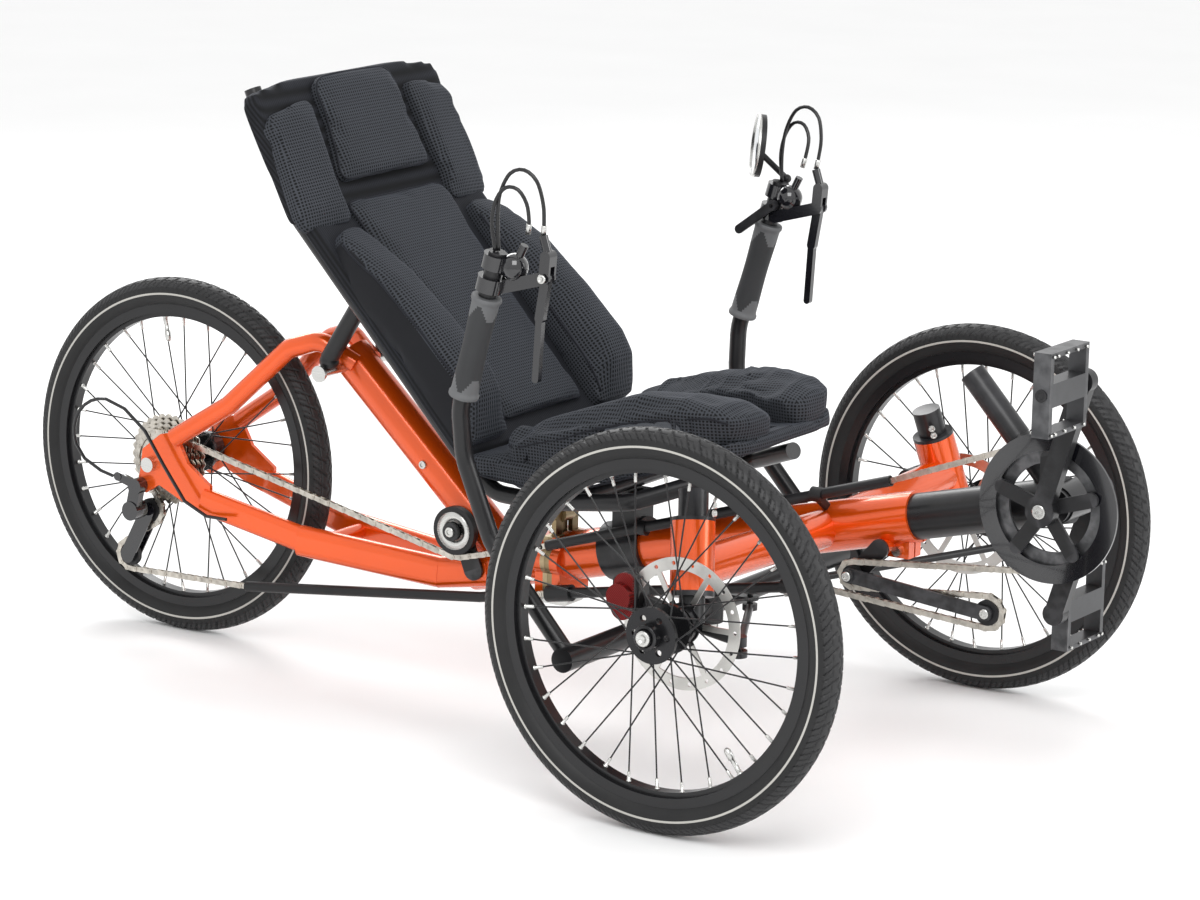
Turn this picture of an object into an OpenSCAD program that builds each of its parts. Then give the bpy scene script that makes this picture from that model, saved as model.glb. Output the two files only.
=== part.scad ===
// Folding recumbent tricycle: two steered wheels in front, one driven wheel behind.
// X points forward, Y to the rider's left, Z up. Lengths are in millimetres.
// Sub-parts are drawn from the point on the ground under the front axle line,
// and at_frame() moves them so that the origin is under the middle of the whole length.

/* [Overall] */
// Distance between the front and rear axle lines
wheelbase = 1010; // [900:1:1220]
// Distance between the middles of the two front tyres
track = 790; // [720:1:950]
// Outer diameter of each tyre
tyre_d = 486; // [450:1:500]
// Width of each tyre
tyre_w = 40; // [32:1:50]
// Diameter at which the tyre sits on the rim
bead_d = 416; // [400:1:424]

/* [Main tube] */
// Outer diameter of the main tube
main_d = 64; // [58:1:78]
// Outer diameter of the sliding boom
boom_d = 57; // [46:1:57]
// Rise of the main tube, in degrees
main_rise = 14; // [12:0.5:16]
// Height of the main tube over the front axle
main_over_axle = 50.6; // [45:0.1:60]
// Distance from the front axle line forward to the mouth of the main tube
mouth_x = 122; // [105:1:145]
// Distance from the front axle line forward to the crank axle
crank_x = 325; // [290:1:390]
// Distance from the front axle line back to the fold
fold_x = 396; // [370:1:430]
// Height of the fold pin
fold_pin_z = 254; // [250:1:262]

/* [Steering] */
// Trail of the kingpin at the ground
trail = 45; // [35:1:54]
// Backward lean of the kingpin, in degrees
caster = 10.5; // [8:0.5:12]
// Inward lean of the kingpin, in degrees
kingpin_lean = 16; // [14:0.5:18]
// Outer diameter of the head tube
head_d = 53; // [48:1:58]
// Length of the head tube along the kingpin
head_len = 83; // [70:1:100]
// Diameter of the cross beams
beam_d = 48; // [40:1:50]
// Length of the steering arms
steer_arm = 65; // [55:1:78]
// Distance from the front axle line back to the handlebar pivot
bar_pivot_x = 175; // [165:1:190]
// Diameter of the handlebar tube
bar_d = 22.2; // [20:0.2:25.4]
// Distance of the handlebar from the middle plane
bar_y = 318; // [300:1:330]

/* [Drive] */
// Sideways distance of the chain from the middle plane
chain_y = 50; // [48:1:52]
// Pitch radius of the chainring
ring_r = 78.8; // [70:0.1:80]
// Outer radius of the chain guard
guard_r = 91; // [88:1:100]
// Length of the cranks
crank_len = 170; // [150:1:180]
// Radius of the largest sprocket
sprocket_r = 62; // [50:1:66]
// Pitch radius of the sprocket that the chain is on
cog_r = 40; // [30:1:44]
// Diameter of the chain tubes
chain_tube_d = 13.6; // [13:0.1:15]

/* [Seat] */
// Width of the seat back
seat_w = 388; // [320:1:400]
// Thickness of the seat back
pad_t = 34; // [28:1:44]
// Spread of the two seat rails
rail_span = 300; // [250:1:320]

/* [Hidden] */
$fn = 48;
run = 0.05;      // running clearance of a pin in its hole
gap = 0.3;       // gap between surfaces that move past each other
wall = 3;        // wall of the frame tubes
axle_z = tyre_d / 2;
rear_x = -wheelbase;
half_track = track / 2;
rise = tan(main_rise);
main_z0 = axle_z + main_over_axle;
origin_x = (rear_x - tyre_d / 2 + crank_x + guard_r) / 2;
side = [0, 1, 0];
rim_in_r = bead_d / 2 - 18;
spokes = 32;
joint_swell = 1.01;
link_step = 0.02;

// Kingpin line of the left wheel
king_dir = [-tan(caster), -tan(kingpin_lean), 1];
function king_at(z) = [trail, half_track, 0] + king_dir * z;
king_z = 314;
head_half = head_len / 2 * cos(kingpin_lean) * cos(caster);
head_low = king_z - head_half;
head_top = king_z + head_half;
steerer_r = 14;
cup_t = 6;
rotor_r = 80;
rotor_t = 2;
rotor_y = 347;
hub_in = rotor_y + rotor_t / 2;
hub_out = half_track + 33;
front_axle_r = 10;

// Height of the main tube's axis at a distance x along the object
function main_z(x) = main_z0 + rise * x;
hinge_x = -fold_x;
hinge_z = main_z(hinge_x);
plate_t = 7;
plate_w = 84;
pin_r = 5;
ear_r = 13;
bar_pivot = [-bar_pivot_x, 0, 166];
cross_bar_r = 15;
link_len = steer_arm * cos(kingpin_lean) * cos(caster);

// Rear frame
seat_tube_d = 54;
seat_tube_low = [hinge_x - 88, 0, hinge_z - 6];
seat_tube_top = [rear_x + 276, 0, 418];
drop_y = 67.7;
drop_t = 6;
stay_d = 30;
hub_half = 67.4;
rear_axle_r = 5;

// Drive: centres are [x, z]
crank = [crank_x, main_z(crank_x)];
chain_h = 8;
chain_w = 5.5;
link_gap = 0.4;
idler = [hinge_x - 132, 219];
idler_r = 36;
sprocket = [rear_x, axle_z];
guide = [rear_x - 18, 173];
tension = [rear_x - 53, 106];
jockey_r = 20;
front_roller = [crank_x - 77, 234];
rear_roller = [crank_x - 265, 252];
roller_r = 20;
small_roller_r = 16;
upper_fore = [109, 376];
upper_hinge = [hinge_x, 217];
lower_rear = [rear_x + 144, 91];
lower_knee = [hinge_x - 93, 136];
lower_hinge = [hinge_x, 155];
lower_fore = [10, 229];
// Stops of the chain in the order it runs, from the chainring over the top and back.
// A stop is [x, z, radius], negative where the chain turns left seen from the right.
chain_stops = [
    [crank[0], crank[1], -ring_r],
    [upper_fore[0], upper_fore[1], 0],
    [upper_hinge[0], upper_hinge[1], 0],
    [idler[0], idler[1], idler_r],
    [sprocket[0], sprocket[1], -cog_r],
    [guide[0], guide[1], jockey_r],
    [tension[0], tension[1], -jockey_r],
    [lower_rear[0], lower_rear[1], 0],
    [lower_knee[0], lower_knee[1], 0],
    [lower_hinge[0], lower_hinge[1], 0],
    [lower_fore[0], lower_fore[1], 0],
    [front_roller[0], front_roller[1], -roller_r],
    [rear_roller[0], rear_roller[1], small_roller_r]
];
front_stops = [9, 10, 11, 12, 0, 1];
rear_stops = [2, 3, 4, 5, 6, 7, 8];
front_turns = [11, 12, 0];
rear_turns = [3, 4, 5, 6];

// Seat outline in side view: [x, z] of the front faces of the pads
back_low = [-418, 384];
back_high = [-667, 650];
head_low_p = [-676, 668];
head_high_p = [-742, 800];
pan_top = [[-400, 396], [-330, 380], [-200, 412], [-110, 446], [-74, 444], [-62, 430]];
pan_base = [[-62, 388], [-200, 336], [-330, 316], [-412, 336]];
rail_r = 11;
lug_x = -290;

// ---------- helpers ----------

function unit(v) = v / norm(v);
function flip_y(p) = [p[0], -p[1], p[2]];
function spot(p, y) = [p[0], y, p[1]];

module at_frame() {
    translate([-origin_x, 0, 0]) children();
}

module both_sides() {
    children();
    mirror(side) children();
}

// Turns the Z axis of its children to a direction
module aim(d) {
    rotate([0, acos(d[2] / norm(d)), atan2(d[1], d[0])]) children();
}

module rod(a, b, r) {
    translate(a) aim(b - a) cylinder(h = norm(b - a), r = r);
}

module pipe(a, b, r, bore) {
    difference() {
        rod(a, b, r);
        rod(a - unit(b - a), b + unit(b - a), bore);
    }
}

// A cylinder along Y from y0 to y1, centred on p = [x, z]
module across(p, y0, y1, r) {
    translate([p[0], y0, p[1]]) rotate([-90, 0, 0]) cylinder(h = y1 - y0, r = r);
}

// A flat plate in the XZ plane, from y0 to y1, of a 2-D outline drawn in [x, z]
module slab(y0, y1) {
    translate([0, y1, 0]) rotate([90, 0, 0]) linear_extrude(height = y1 - y0) children();
}

// A 2-D link with round ends. Its sides stand in by a hair, so that they cut the round ends cleanly.
module link(a, b, r) {
    d = b - a;
    half = r - link_step;
    translate(a) circle(r = r);
    translate(b) circle(r = r);
    translate(a) rotate(atan2(d[1], d[0])) translate([0, -half]) square([norm(d), 2 * half]);
}

// A tube with flat oval section, w wide and h tall, from a to b
module beam(a, b, w, h) {
    d = b - a;
    translate(a) rotate([0, -atan2(d[2], norm([d[0], d[1]])), atan2(d[1], d[0])])
        rotate([90, 0, 90]) linear_extrude(height = norm(d))
            link([0, -(h - w) / 2], [0, (h - w) / 2], w / 2);
}

// One round bend of a tube at corner b, between a and c
module bend(a, b, c, r, bend_r) {
    u = unit(b - a);
    w = unit(c - b);
    turn = acos(u * w);
    n = unit(w - (u * w) * u);
    k = cross(-n, u);
    o = b - u * bend_r * tan(turn / 2) + n * bend_r;
    multmatrix([
        [-n[0], u[0], k[0], o[0]],
        [-n[1], u[1], k[1], o[1]],
        [-n[2], u[2], k[2], o[2]],
        [0, 0, 0, 1]
    ]) rotate_extrude(angle = turn) translate([bend_r, 0]) circle(r = r);
}

function turn_at(p, i) = acos(unit(p[i] - p[i - 1]) * unit(p[i + 1] - p[i]));
function cut_back(p, i, bend_r, mitre) =
    (i == 0 || i == len(p) - 1) ? 0 :
    turn_at(p, i) < mitre ? 0 :
    bend_r * tan(turn_at(p, i) / 2);

// A round tube through the points p, with its corners bent to bend_r.
// Corners that turn by less than mitre, in degrees, are joined without a bend.
module bent_tube(p, r, bend_r, mitre = 0) {
    for (i = [0 : len(p) - 2]) {
        u = unit(p[i + 1] - p[i]);
        rod(p[i] + u * cut_back(p, i, bend_r, mitre), p[i + 1] - u * cut_back(p, i + 1, bend_r, mitre), r);
    }
    for (i = [1 : len(p) - 2]) {
        if (turn_at(p, i) < mitre) {
            translate(p[i]) sphere(r = r * joint_swell);
        } else {
            bend(p[i - 1], p[i], p[i + 1], r, bend_r);
            for (q = [p[i - 1], p[i + 1]])
                translate(p[i] + unit(q - p[i]) * cut_back(p, i, bend_r, mitre)) sphere(r = r * joint_swell);
        }
    }
}

// Swept round cable through the points p, as one polyhedron
module cable(p, r) {
    n = 8;
    last = len(p) - 1;
    tangents = [for (i = [0 : last]) unit(p[min(i + 1, last)] - p[max(i - 1, 0)])];
    ref = [0.01, 1, 0.013];
    rings = [for (i = [0 : last])
        let (s = unit(cross(tangents[i], ref)), t = cross(tangents[i], s))
        for (k = [0 : n - 1]) p[i] + r * (s * cos(360 * k / n) + t * sin(360 * k / n))];
    walls = [for (i = [0 : last - 1]) for (k = [0 : n - 1])
        [i * n + k, i * n + (k + 1) % n, (i + 1) * n + (k + 1) % n, (i + 1) * n + k]];
    ends = [[for (k = [n - 1 : -1 : 0]) k], [for (k = [0 : n - 1]) last * n + k]];
    polyhedron(points = rings, faces = [for (f = concat(walls, ends)) [for (k = [len(f) - 1 : -1 : 0]) f[k]]]);
}

// Points of an arc in the XZ plane at y, from angle a0 to a1
function arc(c, y, rx, rz, a0, a1, n) =
    [for (i = [0 : n]) let (a = a0 + (a1 - a0) * i / n) [c[0] + rx * cos(a), y, c[1] + rz * sin(a)]];

// ---------- chain ----------

function stop_c(i) = [chain_stops[i][0], chain_stops[i][1]];
function next_stop(i) = (i + 1) % len(chain_stops);
// Direction from a stop's centre to where the run to the next stop touches it
function run_angle(i) =
    let (j = next_stop(i), d = stop_c(j) - stop_c(i))
    atan2(d[1], d[0]) + acos((chain_stops[i][2] - chain_stops[j][2]) / norm(d));
function touch(i, a) = stop_c(i) + chain_stops[i][2] * [cos(a), sin(a)];
function wrap(a) = a - 360 * floor(a / 360);

module chain_run(i) {
    a = touch(i, run_angle(i));
    b = touch(next_stop(i), run_angle(i));
    slab(-chain_y - chain_w / 2, -chain_y + chain_w / 2)
        translate(a) rotate(atan2(b[1] - a[1], b[0] - a[0]))
            translate([link_gap, -chain_h / 2]) square([norm(b - a) - 2 * link_gap, chain_h]);
}

module chain_turn(i) {
    before = (i + len(chain_stops) - 1) % len(chain_stops);
    r = abs(chain_stops[i][2]);
    left = chain_stops[i][2] < 0;
    flip = left ? 180 : 0;
    from = (left ? run_angle(before) : run_angle(i)) + flip;
    to = (left ? run_angle(i) : run_angle(before)) + flip;
    translate([stop_c(i)[0], -chain_y + chain_w / 2, stop_c(i)[1]]) rotate([90, 0, 0])
        rotate([0, 0, from]) rotate_extrude(angle = wrap(to - from))
            translate([r - chain_h / 2, 0]) square([chain_h, chain_w]);
}

// ---------- main frame ----------

module hinge_outline() {
    // Plate outline in [y, z], round at the pin and straight at the sides
    link([-plate_w / 2 + 20, hinge_z], [plate_w / 2 - 20, hinge_z], 20);
    translate([-plate_w / 2 + 8, hinge_z - 44]) square([plate_w - 16, 76]);
}

module hinge_slab(x0, x1) {
    translate([x0, 0, 0]) rotate([90, 0, 90]) linear_extrude(height = x1 - x0) hinge_outline();
}

module main_frame() {
    fore = [mouth_x, 0, main_z(mouth_x)];
    aft = [hinge_x, 0, main_z(hinge_x)];
    flange = 12;
    along = unit(fore - aft);
    color("darkorange") at_frame() difference() {
        union() {
            rod(aft, fore, main_d / 2);
            hinge_slab(hinge_x + plate_t, hinge_x + plate_t + flange);
            both_sides() rod([0, 0, main_z(0)], king_at(main_z(0) + 6), beam_d / 2);
            both_sides() rod(king_at(head_low), king_at(head_top), head_d / 2);
            // clamp lugs under the mouth
            slab(-15, 15) translate([mouth_x - 34, main_z(mouth_x) - main_d / 2 - 20]) square([30, 34]);
            // handlebar pivot boss
            translate(bar_pivot + [0, 0, 28 + gap]) cylinder(h = 40, r = 17);
            // roller bracket boss
            across([rear_roller[0] + 30, main_z(rear_roller[0] + 30) - main_d / 2 + 2], -34, -8, 9);
        }
        rod([hinge_x, 0, hinge_z] + along * 22, fore + along * 5, boom_d / 2 + run);
        both_sides() rod(king_at(head_low - 5), king_at(head_top + 5), head_d / 2 - 5);
        both_sides() rod([0, main_d / 2 + 4, main_z(1)], king_at(main_z(0) + 6) - [0, 8, 0],
            beam_d / 2 - wall);
        // slit of the boom clamp
        slab(-1.5, 1.5) translate([mouth_x - 70, main_z(mouth_x) - main_d / 2 - 22]) square([80, 30]);
        // clamp bolt hole
        across([mouth_x - 19, main_z(mouth_x) - main_d / 2 - 11], -20, 20, 3.05);
        // handlebar pivot bolt hole
        translate(bar_pivot + [0, 0, 20]) cylinder(h = 40, r = 8);
        translate([hinge_x - 40, -60, hinge_z - 80]) cube([40 + plate_t, 120, 160]);
        // room for the knuckles of the fold
        across([hinge_x + plate_t + 6, fold_pin_z], -60, 60, ear_r + 1);
        across([hinge_x, fold_pin_z], -60, 60, ear_r + 1);
    }
}

module frame_bolts() {
    color("silver") at_frame() {
        across([mouth_x - 19, main_z(mouth_x) - main_d / 2 - 11], -15, 15, 3);
        across([mouth_x - 19, main_z(mouth_x) - main_d / 2 - 11], -21, -15, 6);
        across([mouth_x - 19, main_z(mouth_x) - main_d / 2 - 11], 15, 21, 6);
        translate(bar_pivot + [0, 0, -22]) cylinder(h = 72, r = 8);
        translate(bar_pivot + [0, 0, -28]) cylinder(h = 6, r = 14);
    }
}

module hinge_plate_front() {
    color("rosybrown") at_frame() difference() {
        union() {
            hinge_slab(hinge_x + gap / 2, hinge_x + plate_t);
            for (y = [-26, 12 + gap]) slab(y, y + 14 - gap)
                translate([hinge_x + gap / 2, hinge_z + 10]) square([ear_r - gap / 2, fold_pin_z - hinge_z - 10]);
            for (y = [-26, 12 + gap]) across([hinge_x, fold_pin_z], y, y + 14 - gap, ear_r);
        }
        across([hinge_x, fold_pin_z], -60, 60, pin_r + run);
        across([hinge_x, fold_pin_z], -12 - gap, 12 + gap, ear_r + gap);
        rod([hinge_x - 9, 0, main_z(hinge_x - 9)], [hinge_x + 30, 0, main_z(hinge_x + 30)], main_d / 2 - 12);
        translate([hinge_x + plate_t, -60, hinge_z + 33]) cube([30, 120, 60]);
        translate([hinge_x - 30, -60, fold_pin_z - 40]) cube([30, 120, 26]);
    }
}

module hinge_plate_rear() {
    color("tan") at_frame() difference() {
        union() {
            hinge_slab(hinge_x - plate_t, hinge_x - gap / 2);
            slab(-12, 12) translate([hinge_x - ear_r, hinge_z + 10])
                square([ear_r - gap / 2, fold_pin_z - hinge_z - 10]);
            across([hinge_x, fold_pin_z], -12, 12, ear_r);
        }
        across([hinge_x, fold_pin_z], -60, 60, pin_r + run);
        for (y = [-30, 12]) across([hinge_x, fold_pin_z], y, y + 18, ear_r + gap);
        rod([hinge_x - 30, 0, main_z(hinge_x - 30)], [hinge_x + 9, 0, main_z(hinge_x + 9)], main_d / 2 - 12);
        translate([hinge_x - plate_t - 30, -60, hinge_z + 33]) cube([30, 120, 60]);
        translate([hinge_x, -60, fold_pin_z - 40]) cube([30, 120, 26]);
    }
}

module frame_pins() {
    // Fold pin, and the pins that the seat struts stand on
    color("dimgray") at_frame() {
        across([hinge_x, fold_pin_z], -26, 26, pin_r);
        for (y = [-30, 26]) across([hinge_x, fold_pin_z], y, y + 4, 7.5);
        across(latch_pin, -38, 27, 4);
        across(strut_foot, 24, strut_y + 16, 6);
        across(strut_foot, -strut_y - 16, -24, 6);
        for (y = [-strut_y - 20, strut_y + 16]) across(strut_foot, y, y + 4, 11);
    }
}

latch_pin = [hinge_x - 26, hinge_z - 54];
module hinge_latch() {
    // Wedge clamp and lever that pull the two plates together
    color("silver") at_frame() difference() {
        union() {
            slab(-19, 19) link(latch_pin, latch_pin + [42, 0], 6);
            slab(-36, -24) link(latch_pin, latch_pin + [-26, -8], 6);
            across(latch_pin, -36, 19, 6);
        }
        across(latch_pin, -50, 50, 4 + run);
    }
}

module headset_cups() {
    color([0.08, 0.08, 0.09]) at_frame() both_sides() {
        pipe(king_at(head_low - cup_t), king_at(head_low), head_d / 2, steerer_r + run);
        pipe(king_at(head_top), king_at(head_top + cup_t - 2), head_d / 2, steerer_r + run);
        pipe(king_at(head_low), king_at(head_low + 12), head_d / 2 - 5, steerer_r + run);
        pipe(king_at(head_top - 12), king_at(head_top), head_d / 2 - 5, steerer_r + run);
    }
}

module seat_clamp() {
    a = lug_x - 29;
    b = lug_x + 29;
    color([0.1, 0.1, 0.11]) at_frame() difference() {
        union() {
            rod([a, 0, main_z(a)], [b, 0, main_z(b)], main_d / 2 + 6);
            slab(-22, 22) translate([a + 12, main_z(a)]) square([34, pan_rail(lug_x) - rail_r - gap - main_z(a)]);
            slab(-14, 14) translate([a + 10, main_z(a) - main_d / 2 - 22]) square([36, 30]);
        }
        rod([a - 5, 0, main_z(a - 5)], [b + 5, 0, main_z(b + 5)], main_d / 2 + run);
        slab(-1.5, 1.5) translate([a - 5, main_z(a) - main_d / 2 - 24]) square([70, 40]);
    }
}

tube_bore = 5.25;
function between(a, b, t) = a + (b - a) * t;

module chain_tubes_front() {
    start = between(lower_hinge, lower_fore, 0.03);
    low = between(lower_hinge, lower_fore, 0.12);
    color([0.07, 0.07, 0.08]) at_frame() {
        difference() {
            union() {
                rod(spot(between(upper_hinge, upper_fore, 0.02), -chain_y), spot(upper_fore, -chain_y),
                    chain_tube_d / 2);
                for (t = [0.3, 0.8]) tube_clip(between(upper_hinge, upper_fore, t), 1);
            }
            rod(spot(upper_hinge, -chain_y), spot(between(upper_hinge, upper_fore, 1.02), -chain_y), tube_bore);
        }
        difference() {
            union() {
                rod(spot(start, -chain_y), spot(lower_fore, -chain_y), chain_tube_d / 2);
                rod(spot(start, -chain_y), spot(low, -chain_y), chain_tube_d / 2 + 4);
                for (t = [0.62, 0.9]) tube_clip(between(lower_hinge, lower_fore, t), -1);
            }
            rod(spot(lower_hinge, -chain_y), spot(between(lower_hinge, lower_fore, 1.02), -chain_y), tube_bore);
        }
    }
}

// Clip that holds a chain tube on the main tube
module tube_clip(p, up) {
    x = p[0];
    difference() {
        union() {
            rod(spot(p, -chain_y) - [8, 0, 0], spot(p, -chain_y) + [8, 0, 0], chain_tube_d / 2 + 2.5);
            beam([x - 5, -chain_y, p[1]], [x - 5, -main_d / 4, main_z(x) + up * main_d * 0.4], 6, 12);
        }
        rod([x - 30, 0, main_z(x - 30)], [x + 30, 0, main_z(x + 30)], main_d / 2);
    }
}

module chain_front() {
    color("lightslategray") at_frame() {
        for (i = front_stops) chain_run(i);
        for (i = front_turns) chain_turn(i);
    }
}

// ---------- boom and cranks ----------

shell_r = 23;
shell_half = 34;
spindle_r = 12;

module boom() {
    back = crank_x - 300;
    color([0.12, 0.12, 0.13]) at_frame() difference() {
        union() {
            rod([back, 0, main_z(back)], [crank_x, 0, main_z(crank_x)], boom_d / 2);
            across(crank, -shell_half, shell_half, shell_r);
            across(crank, -shell_half - 8, shell_half + 8, shell_r - 2);
            rod(post_foot - post_dir * 66, post_foot + post_dir * 8, post_r - 1);
            rod(post_foot, post_foot + post_dir * post_len, post_r);
        }
        rod([back - 5, 0, main_z(back - 5)], [crank_x - 40, 0, main_z(crank_x - 40)], boom_d / 2 - wall);
        across(crank, -shell_half - 9, shell_half + 9, spindle_r + run);
        rod(post_foot + post_dir * (post_len - 24), post_foot + post_dir * (post_len + 1), 11);
    }
}

post_foot = [crank_x - 72, 0, 441];
post_dir = unit([-0.68, 0, 0.73]);
post_len = 96;
post_r = 16;

right_eye = crank + crank_len * unit([49, 166]);
left_eye = crank - crank_len * unit([49, 166]);
arm_in = 64;
arm_t = 15;

module crank_arms() {
    color([0.09, 0.09, 0.1]) at_frame() {
        pedal_spindles();
        across(crank, -arm_in - arm_t, arm_in + arm_t, spindle_r);
        slab(-arm_in - arm_t, -arm_in) crank_outline(right_eye);
        slab(arm_in, arm_in + arm_t) crank_outline(left_eye);
        slab(-arm_in, -arm_in + 4) spider();
    }
}

module crank_outline(eye) {
    link(crank, eye, 12);
    translate(crank) circle(r = 19);
    translate(eye) circle(r = 14);
}

module spider() {
    for (i = [0 : 4]) translate(crank) rotate(72 * i + 18) link([0, 0], [62, 0], 9);
}

module chainring() {
    color([0.2, 0.2, 0.21]) at_frame() slab(-chain_y - 2, -chain_y + 2) difference() {
        translate(crank) circle(r = ring_r - chain_h / 2 - gap, $fn = 96);
        translate(crank) circle(r = 54);
    }
    color([0.2, 0.2, 0.21]) at_frame() for (i = [0 : 4])
        across(crank + 61 * [cos(72 * i + 18), sin(72 * i + 18)], -arm_in + 4, -chain_y - 2, 6);
}

module chain_guard() {
    color([0.05, 0.05, 0.06]) at_frame() slab(-chain_y - 7.5, -chain_y - 4) difference() {
        union() {
            difference() {
                translate(crank) circle(r = guard_r, $fn = 96);
                translate(crank) circle(r = 69);
            }
            for (i = [0 : 4]) translate(crank) rotate(72 * i + 18) translate([53, -8]) square([20, 16]);
        }
        for (i = [0 : 4]) translate(crank + 61 * [cos(72 * i + 18), sin(72 * i + 18)]) circle(r = 6);
    }
}

pedal_in = arm_in + arm_t + 6;
pedal_w = 96;

module pedal_spindles() {
    across(right_eye, -pedal_in - pedal_w + 6, -arm_in - 2, 7 - gap);
    across(left_eye, arm_in + 2, pedal_in + pedal_w - 6, 7 - gap);
}

module pedal(eye) {
    // Cage pedal standing on edge, on the right side
    half = 50;
    thick = 22;
    difference() {
        slab(-pedal_in - pedal_w, -pedal_in) translate(eye) square([thick, 2 * half], center = true);
        for (z = [-1, 1]) translate([eye[0] - 20, -pedal_in - pedal_w + 8, eye[1] + z * 29 - 15])
            cube([40, pedal_w - 16, 30]);
        across(eye, -pedal_in - pedal_w + 4, -pedal_in + 1, 7 - gap + run);
    }
}

module pedal_right() {
    color([0.2, 0.2, 0.21]) at_frame() pedal(right_eye);
}

module pedal_left() {
    color([0.2, 0.2, 0.21]) at_frame() mirror(side) pedal(left_eye);
}

// ---------- chain tensioner ----------

tens_pivot = [rear_roller[0] + 30, main_z(rear_roller[0] + 30) - main_d / 2 + 2];

module tensioner_bracket() {
    color([0.1, 0.1, 0.11]) at_frame() {
        difference() {
            slab(-40, -36) link(tens_pivot, rear_roller, 12);
            across(rear_roller, -60, -30, 5);
        }
        across(rear_roller, -chain_y - 10, -36, 5);
        across(rear_roller, -chain_y - 14, -chain_y - 10, 8);
        across(tens_pivot, -36, -34, 9);
    }
}

module tensioner_arm() {
    color([0.1, 0.1, 0.11]) at_frame() {
        difference() {
            slab(-chain_y - 9.6, -chain_y - 5.6) link(rear_roller, front_roller, 9);
            across(rear_roller, -70, -30, 5 + run);
        }
        across(front_roller, -chain_y - 8, -chain_y + 9, 4);
        across(front_roller, -chain_y + 8, -chain_y + 11, 8);
    }
}

module roller(p, r, bore) {
    slab(-chain_y - 4.5, -chain_y + 4.5) difference() {
        translate(p) circle(r = r - chain_h / 2 - gap);
        translate(p) circle(r = bore + run);
    }
}

module roller_rear() {
    color([0.15, 0.15, 0.16]) at_frame() roller(rear_roller, small_roller_r, 5);
}

module roller_front() {
    color([0.15, 0.15, 0.16]) at_frame() roller(front_roller, roller_r, 4);
}

// ---------- rear frame ----------

function stay_points() = [
    [hinge_x - 128, 22, 160],
    [hinge_x - 170, 32, 154],
    [rear_x + 236, 54, 169],
    [rear_x + 88, 72, 205]
];
function upper_points() = [
    seat_tube_top + [22, 18, -8],
    [rear_x + 252, 35, 438],
    [rear_x + 210, 45, 424],
    [rear_x + 123, 62, 338],
    [rear_x + 40, 73, 284]
];

module dropout() {
    slab(drop_y, drop_y + drop_t) difference() {
        polygon([
            [rear_x + 100, 184], [rear_x + 100, 226], [rear_x + 62, 252], [rear_x + 40, 292],
            [rear_x + 16, 286], [rear_x - 14, 262], [rear_x - 18, 232], [rear_x - 24, 208],
            [rear_x - 8, 202], [rear_x + 14, 216], [rear_x + 60, 196]
        ]);
        translate([rear_x, axle_z]) circle(r = rear_axle_r + run);
    }
}

module rear_frame() {
    aft = hinge_x - 134;
    fore = hinge_x - plate_t;
    p = stay_points();
    q = upper_points();
    color("darkorange") at_frame() difference() {
        union() {
            rod([hinge_x, 0, main_z(hinge_x)], [aft, 0, main_z(aft)], main_d / 2);
            hinge_slab(fore - 12, fore);
            rod(seat_tube_low, seat_tube_top, seat_tube_d / 2);
            both_sides() {
                beam(p[0] + [30, -2, 4], p[1], 26, 42);
                beam(p[1] + [4, 0, 0], p[2], 26, 42);
                beam(p[2] + [8, -2, 0], p[3], 20, 36);
                bent_tube(q, stay_d / 2 - 2, 30);
                dropout();
            }
            // lug of the fold latch
            slab(19 + gap, 27) link(latch_pin, latch_pin + [10, 22], 7);
            // bridges between the stays
            rod([p[2][0] + 30, -50, p[2][2]], [p[2][0] + 30, 50, p[2][2]], 10);
            rod([q[2][0] - 10, -46, q[2][2] - 10], [q[2][0] - 10, 46, q[2][2] - 10], 8);
        }
        rod([fore + 5, 0, main_z(fore + 5)], [aft + 12, 0, main_z(aft + 12)], main_d / 2 - wall);
        rod(seat_tube_low, between(seat_tube_low, seat_tube_top, 0.95), seat_tube_d / 2 - wall);
        translate([fore, -60, hinge_z - 80]) cube([60, 120, 160]);
        across([hinge_x - plate_t - 6, fold_pin_z], -60, 60, ear_r + 1);
        across([hinge_x, fold_pin_z], -60, 60, ear_r + 1);
    }
}

strut_foot = [rear_x + 284, 404];
strut_y = 62;

module rear_axle() {
    color("silver") at_frame() {
        across(sprocket, -drop_y - drop_t - 3, drop_y + drop_t + 3, rear_axle_r);
        for (y = [-drop_y - drop_t - 9, drop_y + drop_t])
            across(sprocket, y, y + 9, 10);
    }
}

module chain_tube_rear() {
    color([0.07, 0.07, 0.08]) at_frame() difference() {
        union() {
            rod(spot(between(lower_hinge, lower_knee, 0.12), -chain_y), spot(lower_knee, -chain_y), chain_tube_d / 2);
            rod(spot(lower_knee, -chain_y), spot(lower_rear, -chain_y), chain_tube_d / 2);
            translate(spot(lower_knee, -chain_y)) sphere(r = chain_tube_d / 2 * joint_swell);
        }
        rod(spot(lower_hinge, -chain_y), spot(between(lower_hinge, lower_knee, 1.01), -chain_y), tube_bore);
        rod(spot(between(lower_rear, lower_knee, 1.01), -chain_y), spot(lower_rear, -chain_y) - [2, 0, 0], tube_bore);
    }
}

module idler_bracket() {
    color([0.1, 0.1, 0.11]) at_frame() {
        difference() {
            slab(-40, -36) link(idler, [idler[0] + 20, main_z(idler[0] + 20)], 14);
            across(idler, -60, -30, 5);
        }
        across(idler, -chain_y - 8, -36, 5);
        across(idler, -chain_y - 13, -chain_y - 8, 12);
        difference() {
            across([idler[0] + 20, main_z(idler[0] + 20)], -36, -20, 12);
            rod([idler[0] - 30, 0, main_z(idler[0] - 30)], [idler[0] + 90, 0, main_z(idler[0] + 90)], main_d / 2);
        }
    }
}

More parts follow.
